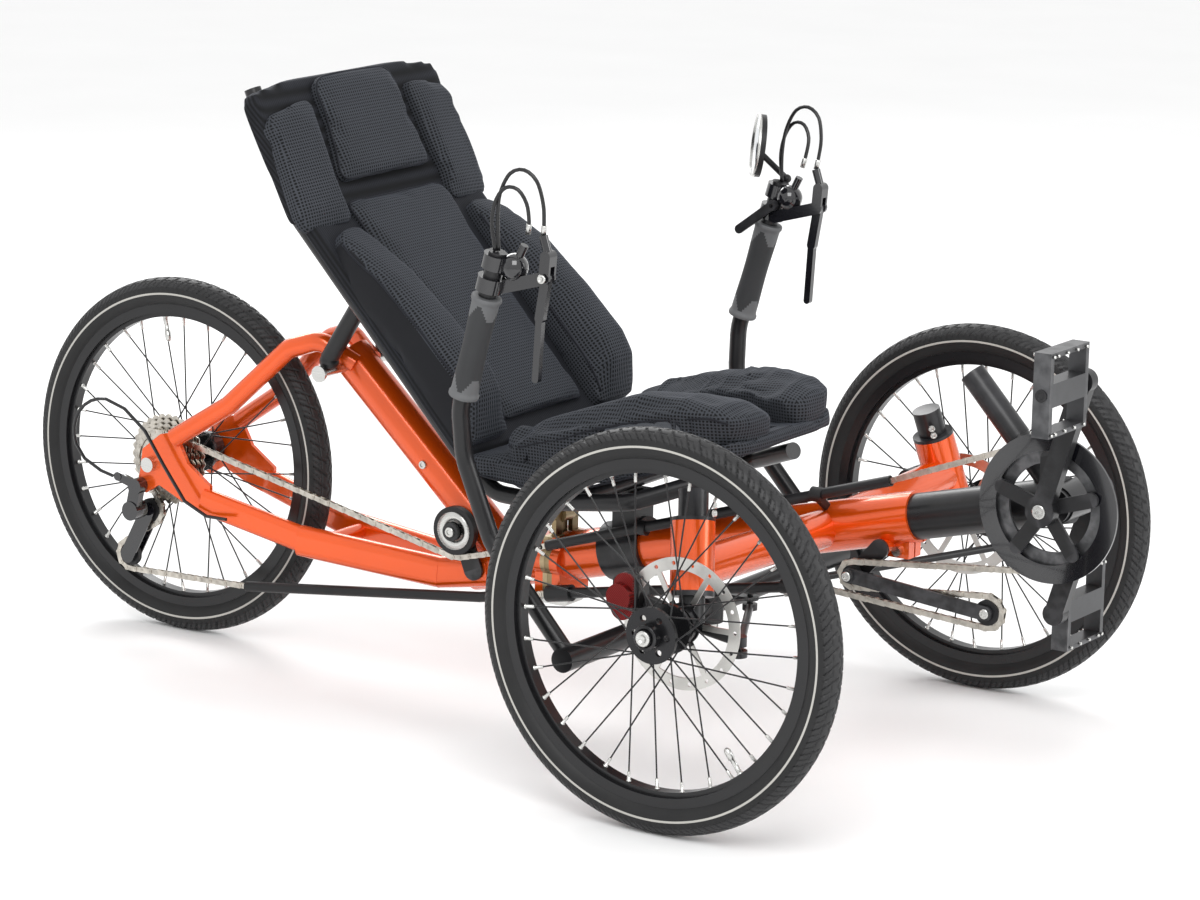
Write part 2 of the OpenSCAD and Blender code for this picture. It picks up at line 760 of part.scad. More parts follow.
module idler_pulley() {
    color([0.12, 0.12, 0.13]) at_frame() slab(-chain_y - 5, -chain_y + 5) difference() {
        translate(idler) circle(r = idler_r - chain_h / 2 - gap);
        translate(idler) circle(r = 5 + run);
    }
}

module chain_rear() {
    color("lightslategray") at_frame() {
        for (i = rear_stops) chain_run(i);
        for (i = rear_turns) chain_turn(i);
    }
}

// ---------- derailleur ----------

hanger = [rear_x - 16, 212];
cage_pivot = guide + [-6, 4];

module derailleur_body() {
    color([0.07, 0.07, 0.08]) at_frame() difference() {
        union() {
            across(hanger, -drop_y - drop_t - 16, -drop_y - drop_t - gap, 11);
            across(cage_pivot, -drop_y - drop_t - 16, -drop_y + 1, 13);
            slab(-drop_y - drop_t - 14, -drop_y - drop_t - 3) link(hanger, cage_pivot, 9);
            across([rear_x - 48, 221], -drop_y - drop_t - 12, -drop_y - drop_t - 4, 6);
            slab(-drop_y - drop_t - 11, -drop_y - drop_t - 5) link(hanger, [rear_x - 48, 221], 6);
        }
        across(cage_pivot, -drop_y - drop_t + 4, -drop_y + 10, 5 + run);
    }
}

module derailleur_cage() {
    inner = chain_y - 9;
    outer = chain_y + 7;
    color([0.07, 0.07, 0.08]) at_frame() {
        slab(-outer - 2, -outer) link(guide, tension, 11);
        slab(-inner, -inner + 2) link(guide, tension, 9);
        across(cage_pivot, -drop_y - drop_t + 5, -outer - 1, 5);
        across(guide, -outer - 1, -inner + 1, 3);
        across(tension, -outer - 1, -inner + 1, 3);
    }
}

module jockey(p) {
    slab(-chain_y - 3.5, -chain_y + 3.5) difference() {
        translate(p) circle(r = jockey_r - chain_h / 2 - gap);
        translate(p) circle(r = 3 + run);
    }
}

module guide_pulley() {
    color([0.2, 0.2, 0.22]) at_frame() jockey(guide);
}

module tension_pulley() {
    color([0.2, 0.2, 0.22]) at_frame() jockey(tension);
}

// ---------- wheels ----------

module wheel_at(p) {
    translate(p) rotate([-90, 0, 0]) children();
}

module tyre_ring() {
    mid = axle_z - tyre_w / 2;
    rotate_extrude($fn = 144) difference() {
        translate([mid, 0]) circle(r = tyre_w / 2);
        translate([mid, 0]) circle(r = tyre_w / 2 - 3.5);
        translate([0, -tyre_w]) square([bead_d / 2, 2 * tyre_w]);
    }
}

module rim_ring() {
    rotate_extrude($fn = 144) difference() {
        union() {
            translate([rim_in_r, -8]) square([bead_d / 2 - rim_in_r - 0.02, 16]);
            translate([rim_in_r + 6, -13.5]) square([bead_d / 2 - rim_in_r - 6.02, 27]);
        }
        translate([rim_in_r + 3, -5]) square([5, 10]);
        translate([rim_in_r + 10, -10]) square([12, 20]);
    }
}

// Spokes from two flanges at heights a and b to the rim, crossing in pairs
module lacing(flange, a, b) {
    step = 360 / spokes;
    lead = 52;
    for (i = [0 : spokes - 1]) {
        y = (i % 2 == 0) ? a : b;
        way = (i % 4 < 2) ? 1 : -1;
        inset = way * 1.6;
        angle = step * i;
        foot = [flange * cos(angle + way * lead), flange * sin(angle + way * lead), y + inset];
        head = [(rim_in_r + 2) * cos(angle), (rim_in_r + 2) * sin(angle), (y > 0 ? 2 : -2)];
        rod(foot, head, 1);
    }
}

module front_tyre() {
    wheel_at([0, half_track, axle_z]) tyre_ring();
}

module front_rim() {
    wheel_at([0, half_track, axle_z]) {
        rim_ring();
        lacing(27, -20, 18);
    }
}

module front_hub() {
    wheel_at([0, half_track, axle_z]) difference() {
        union() {
            translate([0, 0, hub_in - half_track]) cylinder(h = 10, r = 23);
            translate([0, 0, hub_in - half_track]) cylinder(h = hub_out - hub_in, r = 15.5);
            translate([0, 0, -23]) cylinder(h = 5, r = 30);
            translate([0, 0, 15.5]) difference() {
                cylinder(h = 5, r = 34);
                for (i = [0 : 5]) rotate(60 * i) translate([22, 0, -1]) cylinder(h = 8, r = 4.2);
            }
        }
        translate([0, 0, -80]) cylinder(h = 160, r = front_axle_r + run);
    }
}

module front_rotor() {
    wheel_at([0, rotor_y - rotor_t / 2, axle_z]) linear_extrude(height = rotor_t) {
        difference() {
            circle(r = rotor_r, $fn = 96);
            circle(r = rotor_r - 15);
            for (i = [0 : 17]) rotate(20 * i) translate([rotor_r - 7, 0]) circle(r = 2.6);
        }
        difference() {
            union() {
                circle(r = 25);
                for (i = [0 : 5]) rotate(60 * i) translate([20, -3.5]) square([48, 7]);
            }
            circle(r = front_axle_r + 4);
        }
    }
}

module left_tyre() {
    color([0.1, 0.1, 0.11]) at_frame() front_tyre();
}

module right_tyre() {
    color([0.1, 0.1, 0.11]) at_frame() mirror(side) front_tyre();
}

module left_rim() {
    color([0.14, 0.14, 0.15]) at_frame() front_rim();
}

module right_rim() {
    color([0.14, 0.14, 0.15]) at_frame() mirror(side) front_rim();
}

module left_hub() {
    color([0.08, 0.08, 0.09]) at_frame() front_hub();
    color("silver") at_frame() front_rotor();
}

module right_hub() {
    color([0.08, 0.08, 0.09]) at_frame() mirror(side) front_hub();
    color("silver") at_frame() mirror(side) front_rotor();
}

module rear_tyre() {
    color([0.1, 0.1, 0.11]) at_frame() wheel_at([rear_x, 0, axle_z]) tyre_ring();
}

module rear_rim() {
    color([0.14, 0.14, 0.15]) at_frame() wheel_at([rear_x, 0, axle_z]) {
        rim_ring();
        lacing(26, -22, 32);
    }
}

module rear_hub() {
    color([0.08, 0.08, 0.09]) at_frame() difference() {
        union() {
            across(sprocket, -hub_half + gap, hub_half - gap, 13);
            across(sprocket, -24, 34, 18);
            across(sprocket, -25, -20, 29);
            across(sprocket, 30, 35, 29);
            across(sprocket, 44, 60, 22);
        }
        across(sprocket, -90, 90, rear_axle_r + run);
    }
}

module cassette() {
    // Sprockets on a carrier, smaller towards the outside, with the chain's one in its plane
    pitch = 3.9;
    color("lightgray") at_frame() difference() {
        union() {
            across(sprocket, -chain_y - 2 * pitch - 3, -chain_y + 4 * pitch, 18);
            across(sprocket, -chain_y - 1, -chain_y + 1, cog_r - chain_h / 2 - gap);
            for (i = [1 : 4])
                across(sprocket, -chain_y + pitch * i - 0.9, -chain_y + pitch * i + 0.9,
                    cog_r + (sprocket_r - cog_r) * i / 4);
            for (i = [1 : 2])
                across(sprocket, -chain_y - pitch * i - 0.9, -chain_y - pitch * i + 0.9, cog_r - 4 - 5 * i);
        }
        across(sprocket, -90, 0, 13 + run);
    }
}

// ---------- knuckles, brakes ----------

ball_r = 6;

module knuckle() {
    low = 231;
    arm_end = [king_at(axle_z)[0] + steer_arm, king_at(axle_z)[1], 228];
    difference() {
        union() {
            rod(king_at(low), king_at(head_low - cup_t) - unit(king_dir) * gap, 15.5);
            rod(king_at(low + 8), king_at(head_top + cup_t + 30), steerer_r);
            rod(king_at(head_top + cup_t - 2) + unit(king_dir) * gap, king_at(head_top + 36), 18);
            rod([0, king_at(axle_z)[1], axle_z], [0, hub_in - rotor_t - gap, axle_z], 14.5);
            rod([0, king_at(axle_z)[1], axle_z], [0, hub_out + 4, axle_z], front_axle_r);
            beam([king_at(axle_z)[0] + 10, king_at(axle_z)[1], 236], arm_end, 9, 14);
            rod(arm_end - [0, 0, 6], arm_end + [0, 0, 6], 10);
            beam([-8, king_at(axle_z)[1] + 2, axle_z - 4], [-60, rotor_y - 14, axle_z + 12], 10, 26);
        }
        rod(arm_end - [0, 0, 30], arm_end + [0, 0, 30], 3.5);
    }
    rod(arm_end - [0, 0, 10], arm_end + [0, 0, 6], 3.5);
    translate(arm_end - [0, 0, 15]) sphere(r = ball_r);
    across([0, axle_z], hub_out + 0.5, hub_out + 4, 9);
}

module left_knuckle() {
    color([0.09, 0.09, 0.1]) at_frame() knuckle();
}

module right_knuckle() {
    color([0.09, 0.09, 0.1]) at_frame() mirror(side) knuckle();
}

module caliper() {
    c = [-76, axle_z + 24];
    difference() {
        union() {
            slab(rotor_y - 24, rotor_y + 14) link(c + [0, -14], c + [4, 14], 15);
            slab(rotor_y - 24, rotor_y - 9) link(c, c + [22, -4], 12);
        }
        translate([-120, rotor_y - 1.7, 120]) cube([200, 3.4, 300]);
        translate([-61 + 0.5, rotor_y - 12, 120]) cube([200, 60, 300]);
        translate([-56 - 5, rotor_y - 60, 120]) cube([200, 60, 300]);
    }
    across(c, rotor_y + 11, rotor_y + 22, 16.5);
}

module left_caliper() {
    color("firebrick") at_frame() caliper();
}

module right_caliper() {
    color("firebrick") at_frame() mirror(side) caliper();
}

// ---------- handlebar ----------

bar_low = [-bar_pivot_x - 4, bar_y, 170];
bar_points = [
    [-280, bar_y + 12, 652],
    [-335, bar_y + 6, 452],
    [-333, bar_y, 392],
    [-290, bar_y, 292],
    bar_low
];

module handlebar() {
    tongue_x = -bar_pivot_x + link_len;
    color([0.1, 0.1, 0.11]) at_frame() {
        difference() {
            union() {
                rod([-bar_pivot_x, -bar_y - 17, bar_pivot[2]], [-bar_pivot_x, bar_y + 17, bar_pivot[2]],
                    cross_bar_r);
                translate(bar_pivot - [0, 0, 21.5]) cylinder(h = 49.5, r = 20);
                both_sides() bent_tube(bar_points, bar_d / 2, 70);
                translate([0, 0, bar_pivot[2] + 16]) linear_extrude(height = 5)
                    link([-bar_pivot_x, 0], [tongue_x, 0], 11);
            }
            translate(bar_pivot - [0, 0, 60]) cylinder(h = 120, r = 8 + run);
        }
        rod([tongue_x, 0, bar_pivot[2] + 8], [tongue_x, 0, bar_pivot[2] + 30], 3.5);
        translate([tongue_x, 0, bar_pivot[2] + 7]) sphere(r = ball_r);
        translate([tongue_x, 0, bar_pivot[2] + 29]) sphere(r = ball_r);
    }
}

module grips() {
    top = between(bar_points[0], bar_points[1], 0.28);
    low = between(bar_points[0], bar_points[1], 0.92);
    color([0.25, 0.25, 0.26]) at_frame() both_sides() difference() {
        union() {
            rod(top, low, 16.5);
            rod(top, between(top, low, 0.06), 19);
            rod(between(top, low, 0.94), low, 19);
        }
        rod(bar_points[0], bar_points[1], bar_d / 2);
    }
}

inner_ball_left = [-bar_pivot_x + link_len, 0, bar_pivot[2] + 29];
inner_ball_right = [-bar_pivot_x + link_len, 0, bar_pivot[2] + 7];
outer_ball = [king_at(axle_z)[0] + steer_arm, king_at(axle_z)[1], 213];

module tie_rod(a, b) {
    d = unit(b - a);
    difference() {
        union() {
            rod(a + d * 7, b - d * 8, 5);
            translate(a - [0, 0, 4]) cylinder(h = 8, r = 9.5);
            translate(b - [0, 0, 4]) cylinder(h = 8, r = 11);
        }
        translate(a) sphere(r = ball_r + 2 * run);
        translate(b) sphere(r = ball_r + 1.6);
    }
}

module tie_rod_left() {
    color([0.15, 0.15, 0.16]) at_frame() tie_rod(inner_ball_left, outer_ball);
}

module tie_rod_right() {
    color([0.15, 0.15, 0.16]) at_frame() tie_rod(inner_ball_right, flip_y(outer_ball));
}

lever_pin = [-216, 626];
lever_y = bar_y + 2;

module lever_body() {
    bar_at = between(bar_points[0], bar_points[1], 0.2);
    up = unit(bar_points[0] - bar_points[1]);
    difference() {
        union() {
            rod(bar_at - up * 9, bar_at + up * 9, 17);
            slab(lever_y - 8, lever_y + 8) link([bar_at[0] + 12, bar_at[2] - 4], lever_pin, 8);
            slab(lever_y - 8, lever_y + 8) link(lever_pin, lever_pin + [2, 26], 7);
            rod([lever_pin[0] + 2, lever_y, lever_pin[1] + 26], [lever_pin[0] - 6, lever_y, lever_pin[1] + 50], 5.5);
        }
        rod(bar_points[0], bar_points[1], bar_d / 2);
        slab(lever_y - 4.3, lever_y + 4.3) translate([lever_pin[0] - 12, lever_pin[1] - 20]) square([24, 34]);
        across(lever_pin, lever_y - 20, lever_y + 20, 3);
    }
    across(lever_pin, lever_y - 8, lever_y + 8, 3);
}

module shifter_body() {
    bar_at = between(bar_points[0], bar_points[1], 0.06);
    up = unit(bar_points[0] - bar_points[1]);
    difference() {
        union() {
            rod(bar_at - up * 9, bar_at + up * 9, 16);
            translate(bar_at + [22, -8, -6]) sphere(r = 17);
            rod(bar_at + [22, -8, -6], bar_at + [36, -8, 22], 5);
        }
        rod(bar_points[0] + up * 20, bar_points[1], bar_d / 2);
    }
}

module bar_controls() {
    color([0.07, 0.07, 0.08]) at_frame() both_sides() {
        lever_body();
        shifter_body();
    }
}

module brake_lever() {
    difference() {
        slab(lever_y - 4, lever_y + 4) union() {
            link(lever_pin, lever_pin + [-8, -50], 6);
            link(lever_pin + [-8, -50], lever_pin + [-12, -124], 4.5);
        }
        across(lever_pin, lever_y - 10, lever_y + 10, 3 + run);
    }
}

module brake_lever_left() {
    color([0.08, 0.08, 0.09]) at_frame() brake_lever();
}

module brake_lever_right() {
    color([0.08, 0.08, 0.09]) at_frame() mirror(side) brake_lever();
}

shift_pin = [-292, 640];

module shift_lever() {
    difference() {
        union() {
            slab(bar_y - 16, bar_y - 12) link(shift_pin + [14, -16], shift_pin + [-34, -52], 6);
            across(shift_pin + [14, -16], bar_y - 16, bar_y - 8, 7);
        }
        across(shift_pin + [14, -16], bar_y - 30, bar_y, 3);
    }
}

module shift_lever_left() {
    color([0.1, 0.1, 0.11]) at_frame() shift_lever();
}

module shift_lever_right() {
    color([0.1, 0.1, 0.11]) at_frame() mirror(side) shift_lever();
}

module handlebar_cables() {
    // Brake and shift cables that loop from the controls into the ends of the bar
    end = bar_points[0];
    a = [lever_pin[0] - 8, lever_pin[1] + 54];
    color([0.05, 0.05, 0.06]) at_frame() both_sides() {
        cable(concat([[end[0] + 1, end[1], end[2] + 0.6]], arc([end[0] + 34, 700], bar_y + 8, 34, 60, 170, -5, 14),
            [[a[0], lever_y, a[1]]]), 2.4);
    }
}

mirror_c = [-292, bar_y - 18, 702];
mirror_foot = [-283, bar_y + 32, 653.5];

module rear_mirror() {
    color([0.1, 0.1, 0.11]) at_frame() {
        translate(mirror_c) aim([-0.75, -0.55, 0.1]) cylinder(h = 9, r = 41, $fn = 96);
        rod(mirror_c + [-20, 20, -9], mirror_foot, 4);
        translate(mirror_foot) sphere(r = 6);
    }
}

// ---------- seat ----------

// Height of the rails' centre line under the pan
function pan_rail(x) = let (t = (x + 330) / 130) 315.4 - rail_r - gap + 20 * t;
back_dir = unit(back_high - back_low);
back_n = [-back_dir[1], back_dir[0]];
head_dir = unit(head_high_p - head_low_p);
head_n = [-head_dir[1], head_dir[0]];
rail_out = pad_t + rail_r + 2 * gap;

module seat_frame() {
    lo = back_low + back_n * rail_out;
    hi = back_high + back_n * rail_out;
    top = head_high_p + head_n * rail_out;
    y = rail_span / 2;
    p = [
        [-120, 0.72 * y, 353],
        [-200, y, pan_rail(-200) - 2],
        [-330, y, pan_rail(-330)],
        [-400, y, 306],
        [lo[0] - 4, y, lo[1]],
        [hi[0] - 12, y, hi[1] + 6],
        [top[0], y, top[1]]
    ];
    cross_x = -640;
    t = (cross_x - lo[0]) / (hi[0] - lo[0]);
    color([0.08, 0.08, 0.09]) at_frame() {
        both_sides() bent_tube(p, rail_r, 40, 24);
        for (c = [[lug_x, pan_rail(lug_x)], [cross_x, lo[1] + t * (hi[1] - lo[1])], top - head_dir * 20])
            across(c, -y + rail_r, y - rail_r, rail_r - 1);
    }
}

module seat_cushion() {
    half = seat_w / 2 - 6;
    front_half = 0.32 * seat_w;
    color([0.15, 0.16, 0.2]) at_frame() intersection() {
        slab(-half, half) polygon(concat(pan_top, pan_base));
        translate([0, 0, 200]) linear_extrude(height = 400)
            polygon([[-440, -half], [-300, -half], [-50, -front_half], [-50, front_half], [-300, half], [-440, half]]);
    }
}

// Side outline of the bolsters: distance up the back, and how far they stand out of it
bolster = [[-8, -10], [-8, 6], [12, 22], [30, 44], [62, 54], [138, 50], [221, 38], [291, 18], [312, -2], [312, -10]];
bolster_y = 106;

module back_cushion() {
    color([0.15, 0.16, 0.2]) at_frame() {
        slab(-seat_w / 2, seat_w / 2)
            polygon([back_low, back_high, back_high + back_n * pad_t, back_low + back_n * pad_t]);
        both_sides() slab(bolster_y, seat_w / 2 - 1)
            polygon([for (q = bolster) back_low + back_dir * q[0] - back_n * q[1]]);
    }
    color([0.15, 0.16, 0.2]) at_frame() slab(-seat_w / 2 - 12, seat_w / 2 + 12)
        polygon([head_low_p, head_high_p, head_high_p + head_n * pad_t, head_low_p + head_n * pad_t]);
}

module seat_struts() {
    foot = spot(strut_foot + [3, 12.6 + 6], strut_y);
    lo = back_low + back_n * rail_out;
    hi = back_high + back_n * rail_out;
    cross_x = -640;
    t = (cross_x - lo[0]) / (hi[0] - lo[0]);
    head = [cross_x, strut_y, lo[1] + t * (hi[1] - lo[1])];
    color([0.09, 0.09, 0.1]) at_frame() both_sides() difference() {
        union() {
            rod(foot, head - unit(head - foot) * 9, 8);
            rod(foot, between(foot, head, 0.55), 12);
            translate(foot - [0, 0, 4]) sphere(r = 13);
        }
        translate([strut_foot[0] - 60, 0, strut_foot[1] - 54 + gap]) cube([120, 100, 60]);
        rod([cross_x, 0, head[2]], [cross_x, 100, head[2]], rail_r - 1);
    }
}

module derailleur_cable() {
    // Housing from the stay round to the derailleur
    color([0.05, 0.05, 0.06]) at_frame()
        cable(concat(
            [[rear_x + 140, -90, 190], [rear_x + 105, -88, 189]],
            [[rear_x + 70, -90, 205], [rear_x + 34, -90, 250], [rear_x + 4, -91, 292], [rear_x - 30, -92, 318]],
            arc([rear_x - 62, 276], -92, 55, 51, 90, 200, 8),
            [[rear_x - 100, -91, 240], [rear_x - 74, -88, 226], [rear_x - 55, -86, 221]]), 2.4);
}

main_frame();
frame_bolts();
hinge_plate_front();
headset_cups();
seat_clamp();
chain_tubes_front();
chain_front();
boom();
crank_arms();
chainring();
chain_guard();
pedal_right();
pedal_left();
tensioner_bracket();
tensioner_arm();
roller_rear();
roller_front();
rear_frame();
hinge_plate_rear();
frame_pins();
hinge_latch();
rear_axle();
chain_tube_rear();
idler_bracket();
idler_pulley();
chain_rear();
derailleur_cable();
derailleur_body();
derailleur_cage();
guide_pulley();
tension_pulley();
left_tyre();
right_tyre();
left_rim();
right_rim();
left_hub();
right_hub();
rear_tyre();
rear_rim();
rear_hub();
cassette();
left_knuckle();
right_knuckle();
left_caliper();
right_caliper();
handlebar();
grips();
bar_controls();
handlebar_cables();
tie_rod_left();
tie_rod_right();
brake_lever_left();
brake_lever_right();
shift_lever_left();
shift_lever_right();
rear_mirror();
seat_frame();
seat_cushion();
back_cushion();
seat_struts();
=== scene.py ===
import math

import bmesh
import bpy
import numpy as np
from mathutils import Matrix, Vector
from mathutils.bvhtree import BVHTree


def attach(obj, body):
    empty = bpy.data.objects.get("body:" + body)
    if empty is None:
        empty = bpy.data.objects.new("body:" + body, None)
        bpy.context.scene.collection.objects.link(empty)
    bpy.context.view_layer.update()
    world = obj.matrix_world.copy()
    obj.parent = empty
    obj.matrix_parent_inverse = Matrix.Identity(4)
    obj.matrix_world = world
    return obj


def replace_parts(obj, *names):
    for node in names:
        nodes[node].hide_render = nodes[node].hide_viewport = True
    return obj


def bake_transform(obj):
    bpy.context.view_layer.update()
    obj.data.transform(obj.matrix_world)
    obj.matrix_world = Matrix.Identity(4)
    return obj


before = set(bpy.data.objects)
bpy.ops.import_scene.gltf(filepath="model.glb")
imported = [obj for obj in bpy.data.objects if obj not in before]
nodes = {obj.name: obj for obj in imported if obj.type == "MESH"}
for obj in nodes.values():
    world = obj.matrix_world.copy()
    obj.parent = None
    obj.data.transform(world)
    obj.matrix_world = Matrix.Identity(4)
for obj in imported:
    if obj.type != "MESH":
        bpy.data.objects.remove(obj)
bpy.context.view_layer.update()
scene = bpy.context.scene
OX = 0.4185  # the front axle line, forward of the row frame's origin
AXLE_Z = 0.243
TYRE_RING = 0.223  # radius of the circle that the middle of the tyre's section runs on
TYRE_SECTION = 0.020
TYRE_INSIDE = 0.0165
RIM_INNER = 0.190
SPOKES = 32
SPOKE_LEAD = 52  # degrees between a spoke's foot on the flange and its head in the rim
CHAIN_PITCH = 12.7
CLOTH_FRAMES = 20


def at(x, y, z):
    """A point given in millimetres from the ground under the front axle line."""
    return Vector((x / 1000 + OX, y / 1000, z / 1000))


# ---------- materials ----------


def mix_color(nt, factor, a, b):
    m = nt.nodes.new("ShaderNodeMix")
    m.data_type = "RGBA"
    nt.links.new(factor, m.inputs["Factor"])
    for socket, value in ((m.inputs[6], a), (m.inputs[7], b)):
        if isinstance(value, (tuple, list)):
            socket.default_value = (*value, 1)
        else:
            nt.links.new(value, socket)
    return m.outputs[2]


def math_node(nt, op, a, b=0.0, c=0.0):
    m = nt.nodes.new("ShaderNodeMath")
    m.operation = op
    for socket, value in zip(m.inputs, (a, b, c)):
        if isinstance(value, (int, float)):
            socket.default_value = value
        else:
            nt.links.new(value, socket)
    return m.outputs[0]


def noise(nt, vector, scale, detail=3.0):
    n = nt.nodes.new("ShaderNodeTexNoise")
    n.inputs["Scale"].default_value = scale
    n.inputs["Detail"].default_value = detail
    nt.links.new(vector, n.inputs["Vector"])
    return n.outputs["Fac"]


def spread(nt, value, low, high, start=0.0, end=1.0):
    m = nt.nodes.new("ShaderNodeMapRange")
    nt.links.new(value, m.inputs["Value"])
    for key, v in (("From Min", start), ("From Max", end), ("To Min", low), ("To Max", high)):
        m.inputs[key].default_value = v
    return m.outputs["Result"]


def bump(nt, height, strength, distance):
    b = nt.nodes.new("ShaderNodeBump")
    b.inputs["Strength"].default_value = strength
    b.inputs["Distance"].default_value = distance
    nt.links.new(height, b.inputs["Height"])
    return b.outputs["Normal"]


def start_material(name, sockets):
    m = bpy.data.materials.new(name)
    m.use_nodes = True
    nt = m.node_tree
    bsdf = nt.nodes["Principled BSDF"]
    for key, value in sockets.items():
        bsdf.inputs[key].default_value = value
    coord = nt.nodes.new("ShaderNodeTexCoord").outputs["Object"]
    return m, nt, bsdf, coord


def finish_material(name, color, rough, metal=0.0, vary=0.12, patch=14.0, grain=700.0, relief=0.05, depth=0.0002,
                    worn=None, wear=0.0, **sockets):
    """A painted, moulded or bare surface: colour and gloss drift in patches, fine grain, and lighter worn edges."""
    m, nt, bsdf, coord = start_material(name, {"Metallic": metal, **sockets})
    drift = noise(nt, coord, patch)
    fine = noise(nt, coord, grain, 2.0)
    dark = tuple(c * (1 - vary) for c in color)
    light = tuple(min(1, c * (1 + vary)) for c in color)
    shade = mix_color(nt, spread(nt, drift, 0, 1, 0.3, 0.7), dark, light)
    if wear:
        edge = nt.nodes.new("ShaderNodeNewGeometry").outputs["Pointiness"]
        rubbed = math_node(nt, "MULTIPLY", spread(nt, edge, 0, wear, 0.53, 0.62), spread(nt, noise(nt, coord, 60), 0, 1, 0.35, 0.6))
        shade = mix_color(nt, rubbed, shade, worn or tuple(min(1, c * 3 + 0.08) for c in color))
    nt.links.new(shade, bsdf.inputs["Base Color"])
    nt.links.new(spread(nt, math_node(nt, "ADD", drift, fine), rough * 0.88, rough * 1.12, 0.6, 1.4), bsdf.inputs["Roughness"])
    nt.links.new(bump(nt, fine, relief, depth), bsdf.inputs["Normal"])
    return m


def brushed_material(name, color, rough, along=(1, 40, 40), **sockets):
    """Machined or drawn metal, with fine lines along one axis."""
    m, nt, bsdf, coord = start_material(name, {"Metallic": 1.0, **sockets})
    stretch = nt.nodes.new("ShaderNodeMapping")
    stretch.inputs["Scale"].default_value = along
    nt.links.new(coord, stretch.inputs["Vector"])
    lines = noise(nt, stretch.outputs["Vector"], 25, 4)
    shade = mix_color(nt, lines, tuple(c * 0.8 for c in color), tuple(min(1, c * 1.12) for c in color))
    nt.links.new(shade, bsdf.inputs["Base Color"])
    nt.links.new(spread(nt, lines, rough * 0.7, rough * 1.4), bsdf.inputs["Roughness"])
    nt.links.new(bump(nt, lines, 0.1, 0.0002), bsdf.inputs["Normal"])
    return m


def rotor_hub_material(name, plane, inner):
    """Black hub whose brake rotor, the thin disc at a distance plane from the middle and outside a radius, is bare ground steel."""
    m, nt, bsdf, coord = start_material(name, {})
    split = nt.nodes.new("ShaderNodeSeparateXYZ")
    nt.links.new(coord, split.inputs["Vector"])
    x, y, z = split.outputs
    off = math_node(nt, "ABSOLUTE", math_node(nt, "SUBTRACT", math_node(nt, "ABSOLUTE", y), plane))
    in_plane = math_node(nt, "LESS_THAN", off, 0.0016)
    dx = math_node(nt, "SUBTRACT", x, OX)
    dz = math_node(nt, "SUBTRACT", z, AXLE_Z)
    reach = math_node(nt, "SQRT", math_node(nt, "MULTIPLY_ADD", dx, dx, math_node(nt, "MULTIPLY", dz, dz)))
    disc = math_node(nt, "MULTIPLY", in_plane, math_node(nt, "GREATER_THAN", reach, inner))
    rings = wave_of(nt, reach, 0.0011)
    fine = noise(nt, coord, 500)
    ground = mix_color(nt, rings, (0.50, 0.49, 0.47), (0.66, 0.65, 0.62))
    shade = mix_color(nt, disc, mix_color(nt, noise(nt, coord, 40), (0.008, 0.008, 0.009), (0.016, 0.016, 0.018)), ground)
    nt.links.new(shade, bsdf.inputs["Base Color"])
    nt.links.new(spread(nt, disc, 0.4, 1.0), bsdf.inputs["Metallic"])
    nt.links.new(spread(nt, math_node(nt, "MULTIPLY_ADD", fine, 0.3, disc), 0.24, 0.36, 0, 1.3), bsdf.inputs["Roughness"])
    nt.links.new(bump(nt, math_node(nt, "MULTIPLY", rings, disc), 0.08, 0.0001), bsdf.inputs["Normal"])
    return m


def caliper_material(name, face):
    """Black caliper whose adjuster knob, outboard of face, is anodised red and ribbed, with painted shade darkening
    the red in the rib grooves.
    """
    m, nt, bsdf, coord = start_material(name, {})
    split = nt.nodes.new("ShaderNodeSeparateXYZ")
    nt.links.new(coord, split.inputs["Vector"])
    knob = math_node(nt, "GREATER_THAN", math_node(nt, "ABSOLUTE", split.outputs[1]), face)
    fine = noise(nt, coord, 700)
    ribs = wave_of(nt, math_node(nt, "ADD", split.outputs[0], split.outputs[2]), 0.0032)
    # painted shade and light: the red is darker in the rib grooves and lighter on the crests
    red = mix_color(nt, ribs, (0.10, 0.005, 0.005), (0.26, 0.012, 0.011))
    shade = mix_color(nt, knob, mix_color(nt, fine, (0.009, 0.009, 0.010), (0.017, 0.017, 0.018)), red)
    nt.links.new(shade, bsdf.inputs["Base Color"])
    nt.links.new(spread(nt, knob, 0.1, 0.6), bsdf.inputs["Metallic"])
    nt.links.new(spread(nt, fine, 0.26, 0.42), bsdf.inputs["Roughness"])
    nt.links.new(bump(nt, math_node(nt, "MULTIPLY", ribs, knob), 0.5, 0.001), bsdf.inputs["Normal"])
    return m


def wave_of(nt, value, pitch, offset=0.0):
    """0 to 1 and back once in each pitch, in metres."""
    turned = math_node(nt, "MULTIPLY_ADD", value, 2 * math.pi / pitch, offset)
    return math_node(nt, "MULTIPLY_ADD", math_node(nt, "SINE", turned), 0.5, 0.5)


